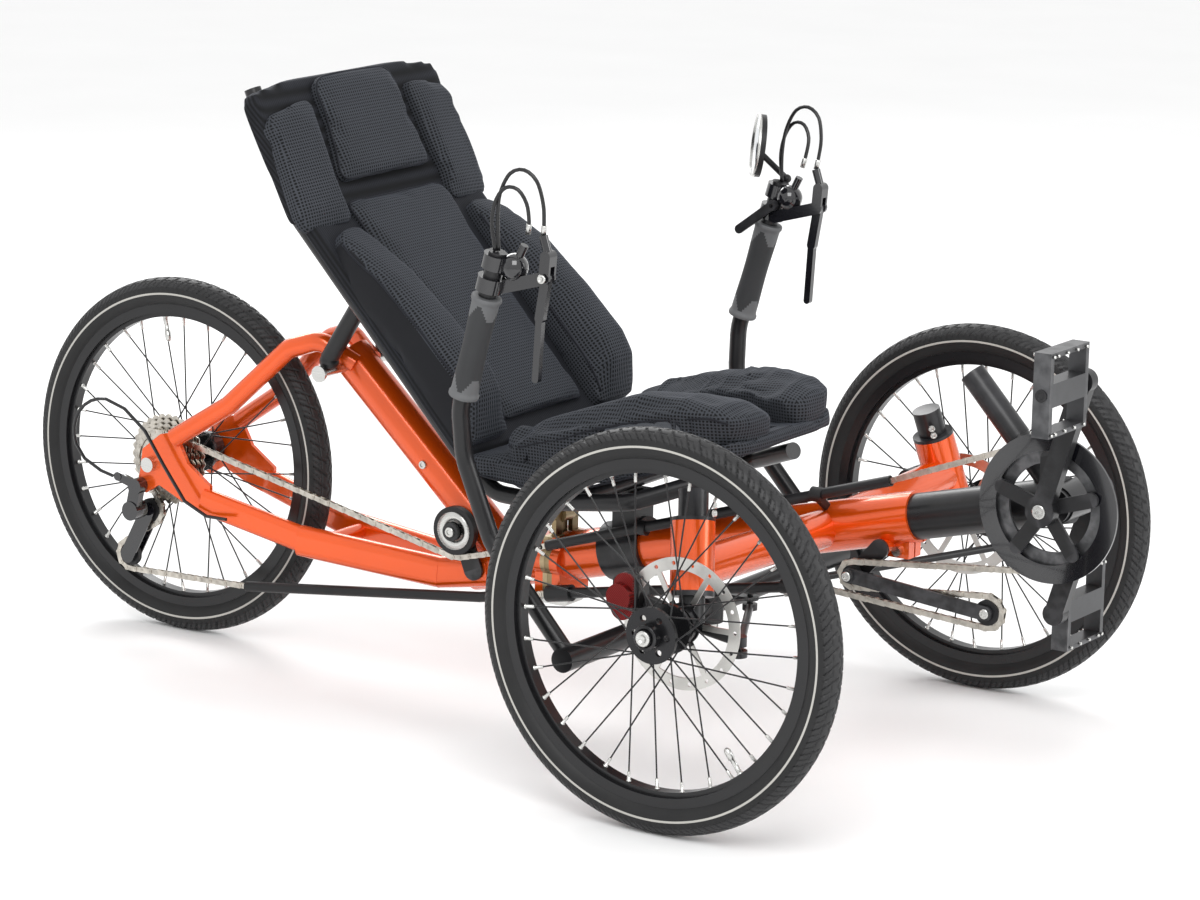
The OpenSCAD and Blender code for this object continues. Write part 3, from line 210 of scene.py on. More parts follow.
def fabric_material(name, tilt, pitch=0.0042, color=(0.036, 0.0395, 0.047), opening_shade_color=(0.002, 0.0023, 0.003), ribbed=False,
                    plain=False, relief=0.6):
    """Spacer mesh: rows of small open cells on every side of a pad; the openings, and the grooves of the ribbed kind,
    are painted near black as shade. tilt is how far the pad leans, in radians.
    """
    m, nt, bsdf, coord = start_material(name, {"Roughness": 0.82, "Sheen Weight": 0.10, "Sheen Roughness": 0.35,
                                                "Specular IOR Level": 0.25})
    bsdf.inputs["Sheen Tint"].default_value = (0.55, 0.62, 0.8, 1)
    turn = nt.nodes.new("ShaderNodeMapping")
    turn.inputs["Rotation"].default_value = (0, tilt, 0)
    nt.links.new(coord, turn.inputs["Vector"])
    split = nt.nodes.new("ShaderNodeSeparateXYZ")
    nt.links.new(turn.outputs["Vector"], split.inputs["Vector"])
    normal = nt.nodes.new("ShaderNodeNewGeometry").outputs["Normal"]
    local = nt.nodes.new("ShaderNodeVectorTransform")
    local.vector_type, local.convert_from, local.convert_to = "NORMAL", "WORLD", "OBJECT"
    nt.links.new(normal, local.inputs["Vector"])
    turned = nt.nodes.new("ShaderNodeMapping")
    turned.vector_type = "NORMAL"
    turned.inputs["Rotation"].default_value = (0, tilt, 0)
    nt.links.new(local.outputs["Vector"], turned.inputs["Vector"])
    facing = nt.nodes.new("ShaderNodeSeparateXYZ")
    nt.links.new(turned.outputs["Vector"], facing.inputs["Vector"])
    up, side, out = split.outputs
    row = wave_of(nt, up, pitch)
    if ribbed:
        cell = math_node(nt, "MULTIPLY", row, spread(nt, wave_of(nt, side, pitch * 0.7), 0.75, 1))
    elif plain:
        cell = spread(nt, noise(nt, coord, 900, 1), 0.5, 1)
    else:
        columns = wave_of(nt, side, pitch)
        deep = wave_of(nt, out, pitch)
        front = math_node(nt, "MULTIPLY", row, columns)
        flank = math_node(nt, "MULTIPLY", row, deep)
        ends = math_node(nt, "MULTIPLY", columns, deep)
        side_share = spread(nt, math_node(nt, "ABSOLUTE", facing.outputs[1]), 0, 1, 0.55, 0.8)
        end_share = spread(nt, math_node(nt, "ABSOLUTE", facing.outputs[0]), 0, 1, 0.55, 0.8)
        blend = nt.nodes.new("ShaderNodeMix")
        blend.data_type = "FLOAT"
        nt.links.new(side_share, blend.inputs["Factor"])
        nt.links.new(front, blend.inputs[2])
        nt.links.new(flank, blend.inputs[3])
        second = nt.nodes.new("ShaderNodeMix")
        second.data_type = "FLOAT"
        nt.links.new(end_share, second.inputs["Factor"])
        nt.links.new(blend.outputs[0], second.inputs[2])
        nt.links.new(ends, second.inputs[3])
        cell = math_node(nt, "SUBTRACT", 1.0, spread(nt, second.outputs[0], 0, 1, 0.12, 0.5))
    fuzz = noise(nt, coord, 1600, 2)
    drift = noise(nt, coord, 11)
    thread = mix_color(nt, drift, tuple(c * 0.8 for c in color), tuple(c * 1.25 for c in color))
    # painted shade: the openings between threads and the grooves between ribs take a near-black colour, over the real
    # cell pattern
    nt.links.new(mix_color(nt, cell, opening_shade_color, thread), bsdf.inputs["Base Color"])
    height = math_node(nt, "MULTIPLY_ADD", fuzz, 0.25, cell)
    nt.links.new(bump(nt, height, relief, 0.0012), bsdf.inputs["Normal"])
    return m


orange = finish_material("candy_orange", (0.78, 0.088, 0.001), 0.24, metal=0.4, vary=0.06, patch=5, grain=2600, relief=0.025,
                         depth=0.0001, **{"Coat Weight": 0.7, "Coat Roughness": 0.03})
satin_black = finish_material("satin_black", (0.009, 0.009, 0.010), 0.30, vary=0.15, grain=1800, wear=0.2,
                              worn=(0.08, 0.08, 0.09), **{"Specular IOR Level": 0.4})
matt_black = finish_material("anodised_black", (0.010, 0.010, 0.011), 0.34, vary=0.1, grain=1500, wear=0.25,
                             worn=(0.14, 0.14, 0.15), **{"Specular IOR Level": 0.4})
gloss_black = finish_material("gloss_black", (0.006, 0.006, 0.008), 0.12, vary=0.2, grain=900, relief=0.02,
                              **{"Coat Weight": 0.8, "Coat Roughness": 0.05})
plastic_black = finish_material("moulded_black", (0.010, 0.010, 0.011), 0.42, vary=0.2, grain=2200, relief=0.15,
                                **{"Specular IOR Level": 0.35})
rim_black = finish_material("rim_black", (0.007, 0.007, 0.008), 0.3, vary=0.15, grain=1200, **{"Specular IOR Level": 0.45})
hub_black = finish_material("hub_black", (0.010, 0.010, 0.011), 0.26, metal=0.5, vary=0.15, grain=1200, wear=0.4,
                            worn=(0.3, 0.3, 0.31))
dark_alloy = finish_material("dark_alloy", (0.060, 0.061, 0.064), 0.36, metal=0.7, vary=0.12, patch=8, wear=0.35, worn=(0.3, 0.3, 0.31))
steel = brushed_material("bright_steel", (0.62, 0.62, 0.60), 0.26)
nickel = finish_material("nickel_chain", (0.50, 0.47, 0.42), 0.3, metal=1.0, vary=0.25, patch=90, grain=900)
bronze = brushed_material("bronze_plate", (0.30, 0.23, 0.13), 0.36)
tan_plate = brushed_material("tan_plate", (0.42, 0.33, 0.20), 0.34)
red_alloy = caliper_material("caliper_red", 0.3575)
grip_dark = finish_material("grip_dark", (0.024, 0.025, 0.027), 0.7, vary=0.15, grain=1500, relief=0.35)
grip_light = finish_material("grip_light", (0.105, 0.108, 0.112), 0.62, vary=0.1, grain=1500, relief=0.25)
cable_black = finish_material("cable_black", (0.008, 0.008, 0.009), 0.28, vary=0.2, grain=2500, relief=0.05)
front_hub = rotor_hub_material("hub_and_rotor", 0.347, 0.029)
tyre_rubber = finish_material("tyre_rubber", (0.012, 0.012, 0.0125), 0.5, vary=0.2, patch=25, grain=1400, relief=0.3, depth=0.0004,
                              **{"Specular IOR Level": 0.3})
tread_rubber = finish_material("tread_rubber", (0.021, 0.021, 0.022), 0.48, vary=0.2, patch=30, grain=900, relief=0.25, depth=0.0004,
                               **{"Specular IOR Level": 0.35})
stripe_grey = finish_material("reflective_stripe", (0.42, 0.41, 0.38), 0.4, vary=0.06, grain=2600, relief=0.2)
glass = finish_material("mirror_glass", (0.82, 0.84, 0.86), 0.03, metal=1.0, vary=0.01, relief=0.002)
mesh_back = fabric_material("spacer_mesh_back", math.atan2(0.6834, 0.7300))
mesh_head = fabric_material("spacer_mesh_head", math.atan2(0.4472, 0.8944))
mesh_pan = fabric_material("spacer_mesh_pan", math.pi / 2)
rib_back = fabric_material("ribbed_base", math.atan2(0.6834, 0.7300), pitch=0.0052, ribbed=True, color=(0.012, 0.013, 0.017))
band_cloth = fabric_material("side_cloth", 0.0, plain=True, color=(0.010, 0.0105, 0.013), relief=0.15)
piping_cloth = fabric_material("seam_piping", 0.0, plain=True, color=(0.014, 0.015, 0.02), relief=0.3)

BY_NODE = {
    orange: "main_frame rear_frame",
    steel: "frame_bolts frame_pins hinge_latch rear_axle",
    bronze: "hinge_plate_front",
    tan_plate: "hinge_plate_rear",
    satin_black: "boom handlebar seat_frame seat_struts seat_clamp headset_cups left_knuckle right_knuckle tie_rod_left tie_rod_right "
                 "shift_lever_left shift_lever_right",
    matt_black: "crank_arms tensioner_bracket tensioner_arm idler_bracket",
    gloss_black: "chain_guard derailleur_body derailleur_cage bar_controls brake_lever_left brake_lever_right",
    plastic_black: "chain_tubes_front chain_tube_rear roller_rear roller_front idler_pulley guide_pulley tension_pulley rear_mirror",
    rim_black: "left_rim right_rim rear_rim",
    dark_alloy: "chainring pedal_right pedal_left",
    nickel: "chain_front chain_rear cassette",
    red_alloy: "left_caliper right_caliper",
    cable_black: "derailleur_cable handlebar_cables",
    hub_black: "rear_hub",
    front_hub: "left_hub right_hub",
    tyre_rubber: "left_tyre right_tyre rear_tyre",
    grip_dark: "grips",
    mesh_back: "seat_cushion back_cushion",
}
for material, names in BY_NODE.items():
    for name in names.split():
        slots = nodes[name].data.materials
        slots.clear()
        slots.append(material)


# ---------- mesh helpers ----------


def piece(name, verts, faces, body, mats, slot, marks=None, smooth=True, ride=True):
    me = bpy.data.meshes.new(name)
    me.from_pydata([tuple(map(float, v)) for v in verts], [], [tuple(map(int, f)) for f in faces])
    for m in mats:
        me.materials.append(m)
    if marks is not None:
        me.polygons.foreach_set("material_index", [int(i) for i in marks])
    me.polygons.foreach_set("use_smooth", [smooth] * len(me.polygons))
    me.update()
    obj = bpy.data.objects.new(name, me)
    scene.collection.objects.link(obj)
    if ride:
        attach(obj, body)
    return obj


def sharp(obj, degrees=35):
    """Shades smooth only where faces meet at less than this angle."""
    me = obj.data
    bm = bmesh.new()
    bm.from_mesh(me)
    limit = math.radians(degrees)
    for e in bm.edges:
        e.smooth = len(e.link_faces) == 2 and e.calc_face_angle(0) < limit
    bm.to_mesh(me)
    bm.free()
    return obj


def joined(parts):
    """Several (verts, faces) lists as one."""
    verts, faces = [], []
    for v, f in parts:
        faces += [tuple(i + len(verts) for i in face) for face in f]
        verts += list(v)
    return verts, faces


def eased(points, step):
    """The points of a smooth curve through some others, about step apart."""
    p = [Vector(q) for q in points]
    p = [p[0] * 2 - p[1]] + p + [p[-1] * 2 - p[-2]]
    out = []
    for i in range(1, len(p) - 2):
        count = max(1, round((p[i + 1] - p[i]).length / step))
        for k in range(count):
            t = k / count
            out.append(0.5 * ((2 * p[i]) + (p[i + 1] - p[i - 1]) * t + (2 * p[i - 1] - 5 * p[i] + 4 * p[i + 1] - p[i + 2]) * t * t
                              + (3 * p[i] - p[i - 1] - 3 * p[i + 1] + p[i + 2]) * t * t * t))
    return out + [p[-2]]


def sweep(points, radius, sides=10, closed=False):
    """A round tube along points, as (verts, faces). radius is a number, or one for each point."""
    p = [Vector(q) for q in points]
    n = len(p)
    radii = radius if isinstance(radius, (list, tuple)) else [radius] * n
    verts, faces, side = [], [], None
    for i in range(n):
        a, b = (p[i - 1], p[(i + 1) % n]) if closed else (p[max(i - 1, 0)], p[min(i + 1, n - 1)])
        d = (b - a).normalized()
        if side is None:
            side = d.orthogonal().normalized()
        side = (side - d * side.dot(d)).normalized()
        up = d.cross(side)
        for k in range(sides):
            w = 2 * math.pi * k / sides
            verts.append(p[i] + (side * math.cos(w) + up * math.sin(w)) * radii[i])
    for i in range(n if closed else n - 1):
        j = (i + 1) % n
        for k in range(sides):
            m = (k + 1) % sides
            faces.append((i * sides + k, i * sides + m, j * sides + m, j * sides + k))
    if not closed:
        faces.append(tuple(range(sides - 1, -1, -1)))
        faces.append(tuple((n - 1) * sides + k for k in range(sides)))
    return verts, faces


def lathe(profile, centre, axis, segments=32, start=None):
    """A turned piece, as (verts, faces): profile is (radius, distance along axis), from one end to the other."""
    d = Vector(axis).normalized()
    u = (start or d.orthogonal()).normalized()
    v = d.cross(u)
    centre = Vector(centre)
    verts, faces = [], []
    for r, h in profile:
        for k in range(segments):
            w = 2 * math.pi * k / segments
            verts.append(centre + d * h + (u * math.cos(w) + v * math.sin(w)) * r)
    for i in range(len(profile) - 1):
        for k in range(segments):
            m = (k + 1) % segments
            faces.append((i * segments + k, i * segments + m, (i + 1) * segments + m, (i + 1) * segments + k))
    faces.append(tuple(range(segments - 1, -1, -1)))
    last = (len(profile) - 1) * segments
    faces.append(tuple(last + k for k in range(segments)))
    return verts, faces


def bolt(centre, axis, r, h):
    """A cap screw head with a dished socket, as (verts, faces)."""
    profile = [(0.98, 0), (1, 0.1), (1, 0.82), (0.9, 1), (0.58, 1), (0.5, 0.55), (0.001, 0.5)]
    return lathe([(r * a, h * b) for a, b in profile], centre, axis, 24)


# ---------- wheels ----------

WHEELS = {"left": (at(0, 395, 243), "left_wheel", 1), "right": (at(0, -395, 243), "right_wheel", -1),
          "rear": (at(-1010, 0, 243), "rear_wheel", 1)}


def tyre_mesh():
    """Tyre with a block tread cut by slanting grooves, ribbed shoulders and a reflective stripe on each side."""
    repeats, per = 84, 12
    segments = repeats * per
    edge = 64  # degrees from the crown of the tread to its shoulder
    outer = [-138.5, -132, -126, -120, -114, -108, -102, -96.5, -94.5, -87, -84.5, -80, -74, -69]
    tread = list(np.linspace(-edge, edge, 31))
    angles = outer + tread + [-a for a in outer[::-1]]
    inner = [138.5, 110, 75, 40, 0, -40, -75, -110, -138.5]
    rows = len(angles) + len(inner)
    verts = np.zeros((segments, rows, 3))
    for j in range(segments):
        t = j / per
        phi = 2 * math.pi * j / segments
        c, s = math.cos(phi), math.sin(phi)
        for i, a in enumerate(angles):
            depth = 0.0
            x = a / edge
            if abs(x) <= 1.0:
                lane = abs(x)
                phase = (t - 0.95 * lane - (0.5 if x > 0 else 0)) % 1
                fine = (t - 0.4 * lane + 0.3) % 1
                if lane > 0.16 and (phase < 0.17):
                    depth = 0.0016
                if lane > 0.62 and 0.5 <= phase < 0.6:
                    depth = 0.0013
                if abs(x - 0.10 * math.sin(2 * math.pi * t)) < 0.05:
                    depth = 0.0012
                if 0.50 < lane < 0.56 and fine < 0.72:
                    depth = max(depth, 0.0010)
            elif 66 < abs(a) < 82:
                depth = 0.0004 * (1 + math.sin(2 * math.pi * t * 2)) * 0.5
            elif abs(a) > 118:
                depth = 0.0003 * (i % 2)
            rr = TYRE_SECTION - depth
            w = math.radians(a)
            rad = TYRE_RING + rr * math.cos(w)
            verts[j, i] = (rad * c, rr * math.sin(w), rad * s)
        for i, a in enumerate(inner):
            w = math.radians(a)
            rad = TYRE_RING + TYRE_INSIDE * math.cos(w)
            verts[j, len(angles) + i] = (rad * c, TYRE_INSIDE * math.sin(w), rad * s)
    faces, marks = [], []
    for j in range(segments):
        k = (j + 1) % segments
        for i in range(rows):
            m = (i + 1) % rows
            faces.append((j * rows + i, j * rows + m, k * rows + m, k * rows + i))
            mark = 0
            if i < len(angles) - 1:
                a = (angles[i] + angles[m]) / 2
                mark = 1 if abs(a) < edge + 2 else 2 if 87 < abs(a) < 94.5 else 0
            marks.append(mark)
    return verts.reshape(-1, 3), faces, marks


def wheel_point(centre, side, radius, angle, y):
    """A point on a wheel: its angle starts from the front and turns towards the ground."""
    return centre + Vector((radius * math.cos(angle), side * y, -radius * math.sin(angle)))


def nipples(centre, side, flange, a, b):
    parts = []
    for i in range(SPOKES):
        y = a if i % 2 == 0 else b
        way = 1 if i % 4 < 2 else -1
        angle = math.radians(360 / SPOKES * i)
        foot = wheel_point(centre, side, flange, angle + math.radians(SPOKE_LEAD * way), y + way * 0.0016)
        head = wheel_point(centre, side, RIM_INNER + 0.002, angle, 0.002 if y > 0 else -0.002)
        d = (foot - head).normalized()
        parts.append(lathe([(0.0032, 0), (0.0032, 0.0025), (0.0021, 0.003), (0.0021, 0.013), (0.0015, 0.014)], head, d, 8))
    return joined(parts)


tyre_verts, tyre_faces, tyre_marks = tyre_mesh()
tyre_data = None
for name, (centre, body, side) in WHEELS.items():
    if tyre_data is None:
        tyre = piece(name + "_tread_tyre", tyre_verts, tyre_faces, body, [tyre_rubber, tread_rubber, stripe_grey], "tyre_rubber",
                     tyre_marks, ride=False)
        sharp(tyre, 28)
        tyre_data = tyre.data
    else:
        tyre = bpy.data.objects.new(name + "_tread_tyre", tyre_data)
        scene.collection.objects.link(tyre)
    tyre.location = centre
    tyre.rotation_euler = (0, 0, 0 if side > 0 else math.pi)
    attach(tyre, body)
    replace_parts(tyre, name + "_tyre")
    lace = (0.026, -0.022, 0.032) if name == "rear" else (0.027, -0.020, 0.018)
    piece(name + "_nipples", *nipples(centre, side, *lace), body, [steel], "steel")
    valve_angle = math.radians({"left": 150, "right": 53, "rear": 260}[name])
    foot = wheel_point(centre, side, 0.192, valve_angle, 0)
    inward = (centre - foot).normalized()
    piece(name + "_valve", *lathe([(0.0042, 0), (0.0042, 0.004), (0.003, 0.0045), (0.003, 0.022), (0.0042, 0.0225), (0.0042, 0.033),
                                   (0.003, 0.036), (0.0012, 0.037)], foot, inward, 14), body, [steel], "steel")
    if name != "rear":
        face = centre + Vector((0, side * 0.033, 0))
        out = Vector((0, side, 0))
        piece(name + "_hub_cap", *lathe([(0.0155, 0), (0.0155, 0.0006), (0.0145, 0.0016), (0.0112, 0.0018), (0.0108, 0.0012)],
                                        face - out * 0.0002, out, 40), body, [hub_black], "hub_black")
        ring = lathe([(0.0094, 0), (0.0094, 0.0022), (0.0084, 0.003), (0.0052, 0.003), (0.0048, 0.0008), (0.0002, 0.0006)],
                     face + out * 0.0034, out, 32)
        piece(name + "_axle_end", *ring, name + "_knuckle", [steel], "steel")

# ---------- chain ----------

CHAIN_Y = -50.0
CRANK = Vector((325, 293.6 + math.tan(math.radians(14)) * 325))
STOPS = [
    (CRANK, -78.8), (Vector((109, 376)), 0), (Vector((-396, 217)), 0), (Vector((-528, 219)), 36), (Vector((-1010, 243)), -40),
    (Vector((-1028, 173)), 20), (Vector((-1063, 106)), -20), (Vector((-866, 91)), 0), (Vector((-489, 136)), 0),
    (Vector((-396, 155)), 0), (Vector((10, 229)), 0), (Vector((248, 234)), -20), (Vector((60, 252)), 16),
]


def run_angle(i):
    (a, ra), (b, rb) = STOPS[i], STOPS[(i + 1) % len(STOPS)]
    d = b - a
    return math.atan2(d.y, d.x) + math.acos((ra - rb) / d.length)


def chain_path():
    """Points along the whole chain, in order, with the index of the stop that each run starts from."""
    out = []
    for i, (c, r) in enumerate(STOPS):
        before = run_angle(i - 1) if i else run_angle(len(STOPS) - 1)
        after = run_angle(i)
        if r:
            turn = (before - after) % (2 * math.pi) if r > 0 else (after - before) % (2 * math.pi)
            count = max(2, int(turn * abs(r) / 3))
            for k in range(count + 1):
                w = before - turn * k / count if r > 0 else before + turn * k / count
                out.append((c + r * Vector((math.cos(w), math.sin(w))), i))
        else:
            out.append((c.copy(), i))
    return out


def chain_links(points):
    """Plates, pins and rollers of a roller chain along points in the XZ plane, as (verts, faces)."""
    lengths = [0.0]
    for a, b in zip(points, points[1:]):
        lengths.append(lengths[-1] + (b - a).length)
    count = int(lengths[-1] / CHAIN_PITCH)
    step = lengths[-1] / count

    def spot(s):
        i = min(max(int(np.searchsorted(lengths, s)) - 1, 0), len(points) - 2)
        t = (s - lengths[i]) / max(lengths[i + 1] - lengths[i], 1e-6)
        return points[i] + (points[i + 1] - points[i]) * min(max(t, 0), 1)

    parts = []
    for n in range(count):
        a, b = spot(n * step), spot((n + 1) * step)
        d = (b - a).normalized()
        up = Vector((-d.y, d.x))
        outer = n % 2
        outline = []
        for k in range(20):
            w = 2 * math.pi * k / 20
            c = b if math.cos(w) > 0 else a
            waist = 1 - 0.22 * max(0, 1 - abs(math.cos(w)) * 3)
            outline.append(c + d * (4.0 * math.cos(w)) + up * (4.0 * math.sin(w) * waist))
        for side in (-1, 1):
            y0 = CHAIN_Y + side * (2.35 if outer else 1.45)
            y1 = y0 + side * 0.8
            verts = [at(q.x, y, q.y) for y in (y0, y1) for q in outline]
            faces = [tuple(range(19, -1, -1)), tuple(range(20, 40))]
            faces += [(k, (k + 1) % 20, 20 + (k + 1) % 20, 20 + k) for k in range(20)]
            parts.append((verts, faces))
        parts.append(lathe([(0.0018, -0.0037), (0.0018, 0.0037)], at(a.x, CHAIN_Y, a.y), (0, 1, 0), 8))
        parts.append(lathe([(0.0036, -0.0014), (0.0036, 0.0014)], at(a.x, CHAIN_Y, a.y), (0, 1, 0), 10))
    return joined(parts)


path = chain_path()
front_from = next(k for k, (p, i) in enumerate(path) if i == 9)
front_points = [p for p, i in path[front_from:]] + [p for p, i in path if i < 2] + [STOPS[2][0]]
rear_points = [p for p, i in path if 2 <= i <= 9]
chain = piece("chain_links_front", *chain_links(front_points), "frame", [nickel], "chain_steel", ride=False)
sharp(chain, 30)
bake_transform(chain)
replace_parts(chain, "chain_front")
chain = piece("chain_links_rear", *chain_links(rear_points), "rear_frame", [nickel], "chain_steel")
sharp(chain, 30)
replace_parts(chain, "chain_rear")


# ---------- sprockets ----------


def sprocket(centre, radius, teeth, y, thick, bore, depth=3.4, holes=0):
    """A toothed plate with a round opening, as (verts, faces)."""
    count = teeth * 8
    verts = []
    for yy in (y - thick / 2, y + thick / 2):
        for k in range(count):
            w = 2 * math.pi * k / count
            tooth = 0.5 + 0.5 * math.cos(teeth * w)
            r = radius + depth * (tooth ** 0.8 - 0.5)
            verts.append(at(centre.x + r * math.cos(w), yy, centre.y + r * math.sin(w)))
        for k in range(count):
            w = 2 * math.pi * k / count
            r = bore + (holes and max(0, math.cos(holes * w)) ** 0.5 * holes_depth(bore, radius))
            verts.append(at(centre.x + r * math.cos(w), yy, centre.y + r * math.sin(w)))
    faces = []
    for k in range(count):
        m = (k + 1) % count
        a, b, c, d = 0, count, 2 * count, 3 * count
        faces += [(a + k, b + k, b + m, a + m), (c + k, c + m, d + m, d + k), (a + k, a + m, c + m, c + k), (b + k, d + k, d + m, b + m)]
    return verts, faces


def holes_depth(bore, radius):
    return (radius - bore) * 0.45


HUB = Vector((-1010, 243))
parts = []
for i, (r, teeth) in enumerate([(62, 32), (56.5, 28), (51, 25), (45.5, 22), (40, 20), (32, 17), (26, 14)]):
    y = CHAIN_Y + 3.9 * (4 - i)
    parts.append(sprocket(HUB, r - 1.5, teeth, y, 1.7, 19 if i > 4 else r * 0.56, holes=0 if i > 3 else 8))
    parts.append(lathe([(0.019, -0.0012), (0.019, 0.0012)], at(HUB.x, y - 1.9, HUB.y), (0, 1, 0), 36))
    if i < 5:
        parts += [sweep([at(HUB.x + 17 * math.cos(w), y, HUB.y + 17 * math.sin(w)),
                         at(HUB.x + r * 0.62 * math.cos(w + 0.25), y, HUB.y + r * 0.62 * math.sin(w + 0.25))], 0.0022, 6)
                  for w in [2 * math.pi * k / 8 for k in range(8)]]
cogs = piece("cassette_cogs", *joined(parts), "cassette", [nickel], "chain_steel")
sharp(cogs, 30)
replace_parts(cogs, "cassette")
piece("cassette_lockring", *lathe([(0.0165, 0), (0.0165, 0.002), (0.015, 0.003), (0.009, 0.003), (0.009, 0.001)],
                                  at(-1010, -60.5, 243), (0, -1, 0), 36), "cassette", [dark_alloy], "dark_alloy")
ring_teeth = piece("chainring_teeth", *sprocket(CRANK, 76.5, 39, CHAIN_Y, 2.2, 70.0, depth=4.4), "cranks", [dark_alloy], "dark_alloy")
sharp(ring_teeth, 30)

# ---------- grips, cables, mirror ----------

BAR_TOP, BAR_NEXT = Vector((-280, 330, 652)), Vector((-335, 324, 452))


def bar_at(t, side=1):
    p = BAR_TOP + (BAR_NEXT - BAR_TOP) * t
    return at(p.x, side * p.y, p.z)


def grip(side):
    """Handlebar grip: flanged ends, a slightly waisted body, and lighter end sections with wavy edges."""
    a, b = bar_at(0.28, side), bar_at(0.92, side)
    length = (b - a).length
    profile = [(0.0114, 0), (0.0180, 0.0004), (0.0188, 0.002), (0.0188, 0.005), (0.0176, 0.0066)]
    rows = 34
    for i in range(1, rows):
        t = i / rows
        profile.append((0.0163 + 0.0006 * math.cos(2 * math.pi * t) , 0.0066 + (length - 0.0132) * t))
    profile += [(0.0176, length - 0.0066), (0.0188, length - 0.005), (0.0188, length - 0.002), (0.0180, length - 0.0004), (0.0114, length)]
    segments = 48
    verts, faces = lathe(profile, a, b - a, segments)
    marks = []
    for i in range(len(profile) - 1):
        h = (profile[i][1] + profile[i + 1][1]) / 2
        for k in range(segments):
            w = 2 * math.pi * k / segments
            reach = 0.020 + 0.009 * math.cos(3 * w)
            marks.append(1 if min(h, length - h) < reach else 0)
    marks += [1, 1]
    obj = piece("grip_left" if side > 0 else "grip_right", verts, faces, "handlebar", [grip_dark, grip_light], "grip_rubber", marks)
    sharp(obj, 40)
    return obj


grip(-1)
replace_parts(grip(1), "grips")

for side, name in ((1, "left"), (-1, "right")):
    def spot(x, y, z):
        return at(x, side * y, z)
    end = (-279, 330, 653)
    brake = eased([spot(*end), spot(-280, 331, 690), spot(-276, 333, 722), spot(-262, 333, 748), spot(-243, 332, 754),
                   spot(-226, 330, 742), spot(-219, 326, 715), spot(-220, 322, 690), spot(-222, 320, 676)], 0.006)
    shift = eased([spot(-281, 334, 653), spot(-285, 336, 688), spot(-279, 337, 715), spot(-266, 336, 731), spot(-250, 334, 730),
                   spot(-240, 330, 714), spot(-240, 324, 692), spot(-243, 321, 676)], 0.006)
    loops = piece(name + "_cable_loops", *joined([sweep(brake, 0.0024, 10), sweep(shift, 0.0024, 10)]), "handlebar", [cable_black],
                  "cable_housing")
    if side > 0:
        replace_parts(loops, "handlebar_cables")
    ferrules = joined([lathe([(0.0034, 0), (0.0034, 0.012), (0.0026, 0.013)], brake[-1], brake[-2] - brake[-1], 14),
                       lathe([(0.0034, 0), (0.0034, 0.012), (0.0026, 0.013)], shift[-1], shift[-2] - shift[-1], 14)])
    piece(name + "_cable_ferrules", *ferrules, "handlebar", [steel], "steel")
    pin = spot(-216, 330.5, 626)
    piece(name + "_lever_pin", *bolt(pin, (0, side, 0), 0.0055, 0.003), "handlebar", [steel], "steel")

glass_at = at(-292, 300, 702)
glass_dir = Vector((-0.75, -0.55, 0.1)).normalized()
rim_of = lathe([(0.0385, 0), (0.0412, 0.0006), (0.0418, 0.003), (0.0405, 0.0045), (0.0385, 0.0042), (0.0382, 0.0032)],
               glass_at + glass_dir * 0.0062, glass_dir, 72)
piece("mirror_rim", *rim_of, "mirror", [steel], "steel")
face_of = lathe([(0.0383, 0), (0.0383, 0.0008), (0.0002, 0.0016)], glass_at + glass_dir * 0.0092, glass_dir, 72)
piece("mirror_face", *face_of, "mirror", [glass], "black_plastic")

# ---------- fittings ----------


def fitting(name, body, centre, axis, r, h, mat=steel, slot="steel"):
    obj = piece(name, *bolt(centre, axis, r, h), body, [mat], slot)
    sharp(obj, 30)
    return obj


def ring(r_in, r_out, y0, y1, centre, segments=48):
    """A flat ring round the Y axis, as (verts, faces)."""
    verts, faces = [], []
    for k in range(segments):
        w = 2 * math.pi * k / segments
        for r, y in ((r_in, y0), (r_out, y0), (r_out, y1), (r_in, y1)):
            verts.append(at(centre[0] + r * math.cos(w), y, centre[1] + r * math.sin(w)))
    for k in range(segments):
        a, b = 4 * k, 4 * ((k + 1) % segments)
        faces += [(a + i, a + (i + 1) % 4, b + (i + 1) % 4, b + i) for i in range(4)]
    return verts, faces


OUT = (0, -1, 0)
fitting("crank_bolt", "cranks", at(325, -79, 374.6), OUT, 0.0085, 0.003)
fitting("idler_bolt", "rear_frame", at(-528, -63, 219), OUT, 0.0065, 0.003)
piece("idler_face", *ring(12.5, 25, -56.0, -55.0, (-528, 219)), "idler", [steel], "steel")
fitting("front_roller_bolt", "tensioner", at(248, -59.4, 234), OUT, 0.006, 0.003)
fitting("rear_roller_bolt", "frame", at(60, -64, 252), OUT, 0.006, 0.003)
for t in (0.2, 0.45):
    p = Vector((-484, 0, 188.9)).lerp(Vector((-734, 0, 418)), t)
    fitting("seat_tube_boss_%d" % round(t * 100), "rear_frame", at(p.x, -26.6, p.z), OUT, 0.0055, 0.0035)
KING = Vector((-math.tan(math.radians(10.5)), -math.tan(math.radians(16)), 1))
for side, label in ((1, "left"), (-1, "right")):
    for k, z in enumerate((360, 369)):
        p = Vector((45, 395, 0)) + KING * z
        face = Vector((0.55, -0.83, 0)).normalized()
        place = at(p.x + face.x * 26, side * (p.y + face.y * 26), p.z)
        fitting("%s_collar_bolt_%d" % (label, k), "frame", place, (face.x, side * face.y, 0), 0.0042, 0.0035)
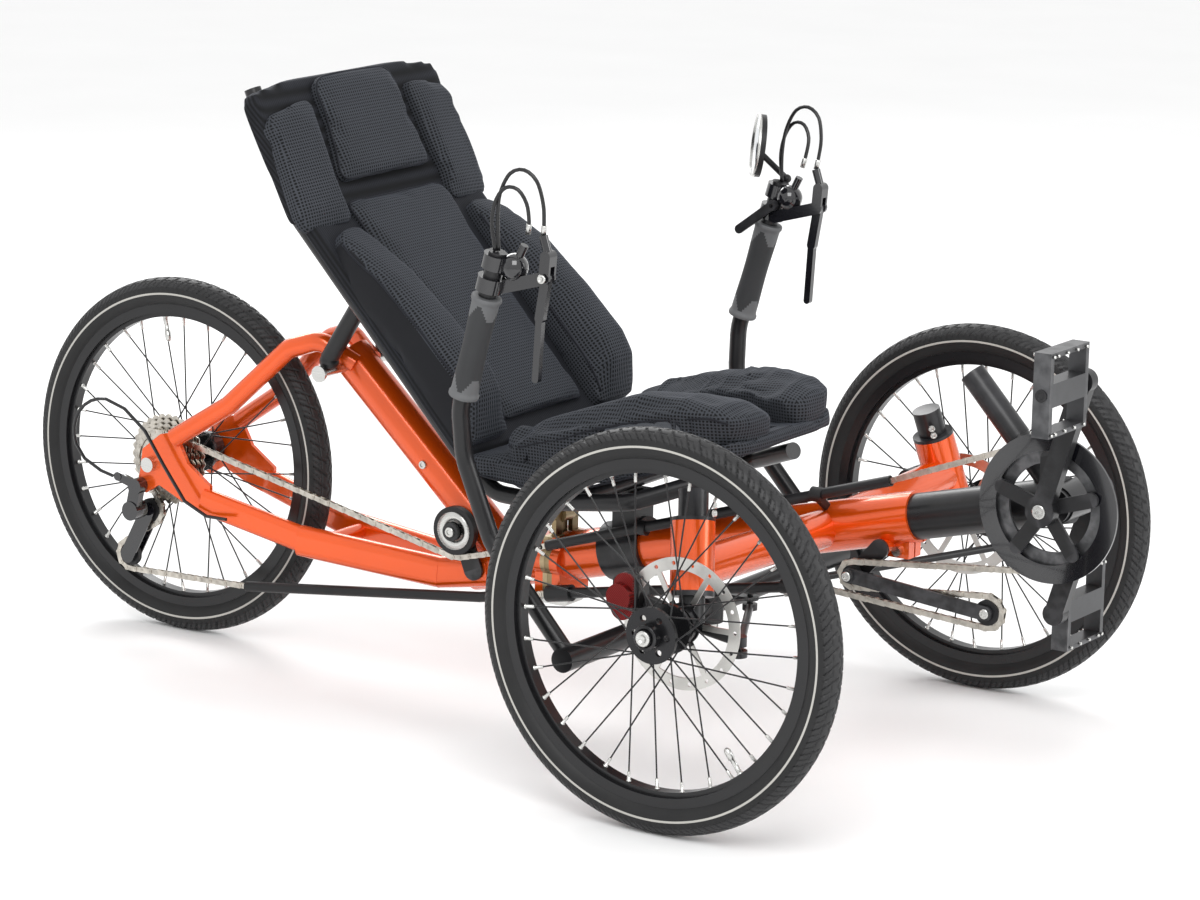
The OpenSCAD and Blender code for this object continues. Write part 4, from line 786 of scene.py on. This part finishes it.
for side, body in ((1, "left_pedal"), (-1, "right_pedal")):
    arm = Vector((49, 166)).normalized() * 170
    ex, ez = 325 - side * arm.x, 374.6 - side * arm.y
    pins = []
    for dx in (-11, 11):
        for y in (94, 118, 142, 166, 176):
            for dz in (-46, 46):
                pins.append(lathe([(0.0019, 0), (0.0019, 0.003), (0.0012, 0.0034)], at(ex + dx, side * y, ez + dz),
                                  (math.copysign(1, dx), 0, 0), 8))
    piece(("left" if side > 0 else "right") + "_pedal_pins", *joined(pins), body, [steel], "steel")
    fitting(("left" if side > 0 else "right") + "_pedal_cap", body, at(ex, side * 181, ez), (0, side, 0), 0.0075, 0.0016, satin_black,
            "black_plastic")

# ---------- seat ----------


class Section:
    """One plane of the seat. Points are (s up the plane, y to the left, h out of its front), in millimetres."""

    def __init__(self, origin, along, out):
        self.o, self.d, self.f = Vector(origin), Vector(along), Vector(out)

    def point(self, s, y, h):
        q = self.o + self.d * s + self.f * h
        return at(q.x, y, q.y)

    def coords(self, p):
        q = Vector(((p.x - OX) * 1000, p.z * 1000)) - self.o
        return q.dot(self.d), p.y * 1000, q.dot(self.f)


BACK = Section((-418, 384), (-0.68340, 0.73005), (0.73005, 0.68340))
HEAD = Section((-676, 668), (-0.44721, 0.89443), (0.89443, 0.44721))
PAN = Section((0, 0), (1, 0), (0, 1))


def rounded(points, r=12, steps=4):
    """A closed outline with its corners rounded to r, or to a corner's own third number."""
    out = []
    n = len(points)
    for i in range(n):
        a, b, c = (Vector(points[j % n][:2]) for j in (i - 1, i, i + 1))
        size = points[i][2] if len(points[i]) > 2 else r
        u, w = (a - b), (c - b)
        size_u, size_w = min(size, u.length * 0.45), min(size, w.length * 0.45)
        p, q = b + u.normalized() * size_u, b + w.normalized() * size_w
        for k in range(steps + 1):
            t = k / steps
            out.append((p * (1 - t) ** 2 + b * 2 * t * (1 - t) + q * t ** 2))
    return out


def pad_block(name, section, outline, low, high, voxel=0.006):
    """A closed block over an outline in (s, y), from height low to high, remeshed to even quads.
    low and high are numbers or functions of (s, y)."""
    bm = bmesh.new()
    value = lambda f, s, y: f(s, y) if callable(f) else f
    ring = rounded(outline)
    for h in (low, high):
        edge = [bm.verts.new(Vector((p.x, p.y, value(h, p.x, p.y))) / 1000) for p in ring]
        bm.faces.new(edge)
    bm.verts.ensure_lookup_table()
    n = len(ring)
    for k in range(n):
        m = (k + 1) % n
        bm.faces.new((bm.verts[k], bm.verts[m], bm.verts[n + m], bm.verts[n + k]))
    bmesh.ops.recalc_face_normals(bm, faces=bm.faces)
    me = bpy.data.meshes.new(name)
    bm.to_mesh(me)
    bm.free()
    obj = bpy.data.objects.new(name, me)
    scene.collection.objects.link(obj)
    remesh = obj.modifiers.new("even", "REMESH")
    remesh.mode = "VOXEL"
    remesh.voxel_size = voxel
    dg = bpy.context.evaluated_depsgraph_get()
    even = bpy.data.meshes.new_from_object(obj.evaluated_get(dg))
    obj.modifiers.clear()
    obj.data = even
    for v in even.vertices:
        v.co = section.point(*(v.co * 1000))
    even.flip_normals()
    even.update()
    return obj


def warp(obj, section, fn):
    """Moves each vertex by a function of its (s, y, h)."""
    for v in obj.data.vertices:
        v.co = section.point(*fn(*section.coords(v.co)))
    obj.data.update()


def smooth_step(x, a, b):
    t = min(max((x - a) / (b - a), 0), 1)
    return t * t * (3 - 2 * t)


PADS = []


def cushion(name, section, outline, low, high, mats, shape=None, puff=7.0, press=4.0, voxel=0.006, fill=0.7):
    obj = pad_block(name, section, outline, low, high, voxel)
    if shape:
        warp(obj, section, shape)
    for m in mats:
        obj.data.materials.append(m)
    PADS.append((obj, puff / 1000, press))
    obj["fill"] = fill
    return obj


def inflate(pads):
    """Swells the pads a little as cloth under pressure, so that they crown and pucker as sewn covers do."""
    rest = {}
    for obj, puff, press in pads:
        cloth = obj.modifiers.new("swell", "CLOTH")
        s = cloth.settings
        s.quality = 4
        s.mass = 0.3
        s.tension_stiffness = s.compression_stiffness = 18
        s.shear_stiffness = 6
        s.bending_stiffness = 1.2
        s.use_pressure = True
        s.uniform_pressure_force = press
        s.shrink_min = -0.02
        s.effector_weights.gravity = 0
        cloth.collision_settings.use_collision = False
        rest[obj.name] = np.array([v.co for v in obj.data.vertices])
    for f in range(1, CLOTH_FRAMES + 1):
        scene.frame_set(f)
    dg = bpy.context.evaluated_depsgraph_get()
    for obj, puff, press in pads:
        me = obj.evaluated_get(dg).to_mesh()
        now = np.array([v.co for v in me.vertices])
        before = rest[obj.name]
        move = now - before
        size = np.linalg.norm(move, axis=1, keepdims=True)
        move *= np.minimum(1, puff / np.maximum(size, 1e-9))
        obj.evaluated_get(dg).to_mesh_clear()
        obj.modifiers.clear()
        obj.data.vertices.foreach_set("co", (before + move).ravel())
        obj.data.update()
    scene.frame_set(1)


def back_half(s):
    """Half width of the middle back pad at a distance up the back."""
    return 92 + 20 * s / 361


def bolster_height(s):
    return float(np.interp(s, [-10, 0, 14, 32, 62, 138, 221, 285, 315], [0, 10, 24, 42, 50, 46, 34, 14, 0]))


# shells that the pads sit on
cushion("back_shell", BACK, [(-22, -190, 18), (-22, 190, 18), (372, 190, 18), (372, -190, 18)], -31, -13, [rib_back],
                puff=2.0, press=1.0)
cushion("head_shell", HEAD, [(-42, -196, 16), (-42, 196, 16), (134, 201, 22), (148, 120, 30), (148, -120, 30), (134, -201, 22)],
        -33, -12, [rib_back], puff=2.5, press=1.5)


def side_bolster(side):
    outline = [(-8, side * 106), (-8, side * 188, 16), (60, side * 191), (230, side * 191, 20), (312, side * 176, 40), (314, side * 122, 14)]

    def shape(s, y, h):
        out = abs(y)
        if h > -5:
            top = bolster_height(s)
            across = smooth_step(out, 98, 136) * (1 - 0.28 * smooth_step(out, 166, 194))
            h = h / 10 * max(top * (0.28 + 0.72 * across), 3) if h > 0 else h
        return s, y, h

    name = ("left" if side > 0 else "right") + "_back_bolster"
    return cushion(name, BACK, outline, -26, 10, [mesh_back, band_cloth], shape=shape, puff=6, voxel=0.0055)


bolsters = {side: side_bolster(side) for side in (1, -1)}
back_pad = cushion("back_middle_pad", BACK, [(5, -92, 10), (5, 92, 10), (361, 111, 22), (361, -111, 22)], -22, -1, [mesh_back],
                   shape=lambda s, y, h: (s, y, h - (3.0 * (abs(y) / back_half(s)) ** 2 if h > -8 else 0)), puff=6)
head_pad = cushion("head_middle_pad", HEAD, [(-4, -98, 14), (-4, 98, 14), (140, 83, 26), (140, -83, 26)], -20, 3, [mesh_head],
                   shape=lambda s, y, h: (s, y, h - (4.0 * (abs(y) / 100) ** 2 if h > -6 else 0)), puff=7)
for side in (1, -1):
    cushion(("left" if side > 0 else "right") + "_head_pad", HEAD,
            [(-58, side * 112, 14), (-58, side * 204, 22), (30, side * 206, 20), (104, side * 201, 30), (112, side * 104, 18),
             (20, side * 106, 20)],
            -22, -5, [mesh_head], puff=7,
            shape=lambda s, y, h: (s, y, h + (8 * (1 - smooth_step(abs(y), 120, 206)) if h > -12 else 0)))


def pan_floor(s, y):
    return float(np.interp(s, [-430, -330, -200, -62], [336, 318, 338, 392]))


def pan_crest(s):
    return float(np.interp(s, [-430, -345, -290, -220, -140, -95, -70, -58], [392, 396, 414, 436, 454, 456, 446, 424]))


def pan_half(s):
    return float(np.interp(s, [-430, -300, -60], [184, 182, 122]))


def pan_valley(s):
    return float(np.interp(s, [-430, -330, -200, -100, -60], [372, 374, 392, 420, 412]))


pan_base = cushion("pan_base", PAN, [(-440, -180, 20), (-440, 180, 20), (-300, 182, 20), (-72, 126, 26), (-64, 60, 30), (-64, -60, 30),
                                     (-72, -126, 26), (-300, -182, 20)], pan_floor, lambda s, y: pan_floor(s, y) + 24, [mesh_pan], puff=4,
                   press=2)
cushion("pan_middle", PAN, [(-446, -112, 16), (-446, 112, 16), (-84, 44, 22), (-84, -44, 22)],
        lambda s, y: pan_floor(s, y) + 16, lambda s, y: pan_valley(s) - 6, [mesh_pan], puff=7)


def pan_lobe(side):
    outline = [(-366, side * 112, 20), (-372, side * 180, 20), (-290, side * 181, 20), (-120, side * 138, 24), (-66, side * 112, 36),
               (-60, side * 26, 36), (-150, side * 34, 24)]

    def shape(s, y, h):
        top = pan_floor(s, y) + 30
        if h > top - 12:
            inner = abs(y)
            mid = (pan_half(s) + np.interp(s, [-370, -60], [112, 20])) / 2
            half = pan_half(s) - mid
            drop = 16 * min(1, abs(inner - mid) / half) ** 2.2
            h = pan_crest(s) - drop + (h - top)
        return s, y, h

    return cushion(("left" if side > 0 else "right") + "_thigh_pad", PAN, outline, lambda s, y: pan_floor(s, y) + 14,
                   lambda s, y: pan_floor(s, y) + 30, [mesh_pan], shape=shape, puff=7, press=4)


lobes = {side: pan_lobe(side) for side in (1, -1)}
inflate(PADS)


def bolster_seam(s):
    """Height of a bolster's outer seam, below which its side is plain cloth."""
    return bolster_height(s) * 0.8 - 4


for bolster in bolsters.values():
    for face in bolster.data.polygons:
        s, y, h = BACK.coords(face.center)
        out = abs(face.normal.y)
        face.material_index = 1 if abs(y) > 176 and out > 0.55 and h < bolster_seam(s) else 0


def seam(name, obj, section, points, radius=0.0014):
    """Piping laid on a pad, along points that are each moved to the nearest place on it."""
    tree = BVHTree.FromPolygons([v.co for v in obj.data.vertices], [p.vertices for p in obj.data.polygons])
    path = eased([section.point(*p) for p in points], 0.006)
    laid = []
    for p in path:
        laid.append(tree.find_nearest(p)[0])
    for _ in range(3):
        laid = [laid[0]] + [(a + b * 2 + c) / 4 for a, b, c in zip(laid, laid[1:], laid[2:])] + [laid[-1]]
    return piece(name, *sweep(laid, radius, 8), "seat", [piping_cloth], "mesh_fabric")


for side, label in ((1, "left"), (-1, "right")):
    seam(label + "_bolster_piping", bolsters[side], BACK,
         [(s, side * 191, bolster_seam(s)) for s in (4, 20, 40, 62, 100, 138, 180, 221, 260, 285, 300)])
    seam(label + "_bolster_inner_piping", bolsters[side], BACK,
         [(s, side * 112, 0.3 * bolster_height(s) + 4) for s in (2, 30, 62, 100, 138, 180, 221, 260, 292)])
    seam(label + "_thigh_piping", lobes[side], PAN,
         [(s, side * (pan_half(s) - 4), pan_crest(s) - 18) for s in (-366, -345, -290, -220, -160, -120, -100, -80)])
    seam(label + "_pan_edge_piping", pan_base, PAN,
         [(s, side * pan_half(s), pan_floor(s, 0) + 4) for s in (-420, -380, -300, -220, -160, -110)])
seam("back_pad_piping", back_pad, BACK,
     [(s, y, -2) for s, y in ((190, 102), (352, 110), (357, 60), (357, -60), (352, -110), (190, -102), (12, -92), (8, -50),
                              (8, 50), (12, 92), (180, 101))])
seam("head_pad_piping", head_pad, HEAD,
     [(s, y, 1) for s, y in ((60, 92), (132, 84), (137, 50), (137, -50), (132, -84), (60, -92), (2, -96), (-2, -50),
                             (-2, 50), (2, 96), (52, 93))])
for obj, _, _ in PADS:
    obj.data.polygons.foreach_set("use_smooth", [True] * len(obj.data.polygons))
    soft = obj.modifiers.new("soft", "SUBSURF")
    soft.levels = soft.render_levels = 1
    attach(obj, "seat")
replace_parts(back_pad, "back_cushion")
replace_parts(pan_base, "seat_cushion")

# ---------- surroundings ----------


def floor_material():
    m, nt, bsdf, coord = start_material("pale_floor", {"Roughness": 0.6})
    shade = mix_color(nt, noise(nt, coord, 3), (0.86, 0.86, 0.86), (0.9, 0.9, 0.9))
    nt.links.new(shade, bsdf.inputs["Base Color"])
    return m


floor = bpy.data.meshes.new("floor")
floor.from_pydata([(-40, -40, 0), (40, -40, 0), (40, 40, 0), (-40, 40, 0)], [], [(0, 1, 2, 3)])
floor.materials.append(floor_material())
floor_obj = bpy.data.objects.new("floor", floor)
scene.collection.objects.link(floor_obj)

world = bpy.data.worlds.new("studio")
world.use_nodes = True
world.node_tree.nodes["Background"].inputs["Color"].default_value = (1, 1, 1, 1)
world.node_tree.nodes["Background"].inputs["Strength"].default_value = 1.05
scene.world = world
scene.view_settings.view_transform = "Standard"


def area_light(name, place, target, size, power, color=(1, 1, 1)):
    data = bpy.data.lights.new(name, "AREA")
    data.shape = "RECTANGLE"
    data.size, data.size_y = size
    data.energy = power
    data.color = color
    obj = bpy.data.objects.new(name, data)
    obj.location = place
    obj.rotation_euler = (Vector(target) - Vector(place)).to_track_quat("-Z", "Y").to_euler()
    scene.collection.objects.link(obj)


area_light("key", (1.6, -2.6, 3.4), (0, 0, 0.3), (2.4, 2.4), 90)
area_light("rim", (-2.6, 2.2, 2.6), (0, 0, 0.4), (2.5, 1.2), 60)
area_light("front", (3.6, 1.0, 1.6), (0.2, 0, 0.3), (1.6, 1.6), 30)

# ---------- camera ----------

cam = bpy.data.cameras.new("camera")
cam.sensor_width = 36
cam.lens = 133.93
cam_obj = bpy.data.objects.new("camera", cam)
scene.collection.objects.link(cam_obj)
scene.camera = cam_obj
yaw, pitch, roll = (math.radians(a) for a in (122.67, -12.728, 1.177))
look = Vector((math.cos(yaw) * math.cos(pitch), math.sin(yaw) * math.cos(pitch), math.sin(pitch)))
right = Vector((math.sin(yaw), -math.cos(yaw), 0))
above = right.cross(look)
right, above = right * math.cos(roll) + above * math.sin(roll), above * math.cos(roll) - right * math.sin(roll)
turn = Matrix((right, above, -look)).transposed()
cam_obj.rotation_mode = "QUATERNION"
cam_obj.rotation_quaternion = turn.to_quaternion()
cam_obj.location = (3.06747, -4.66344, 1.59357)
cam.clip_end = 200

bpy.context.view_layer.update()
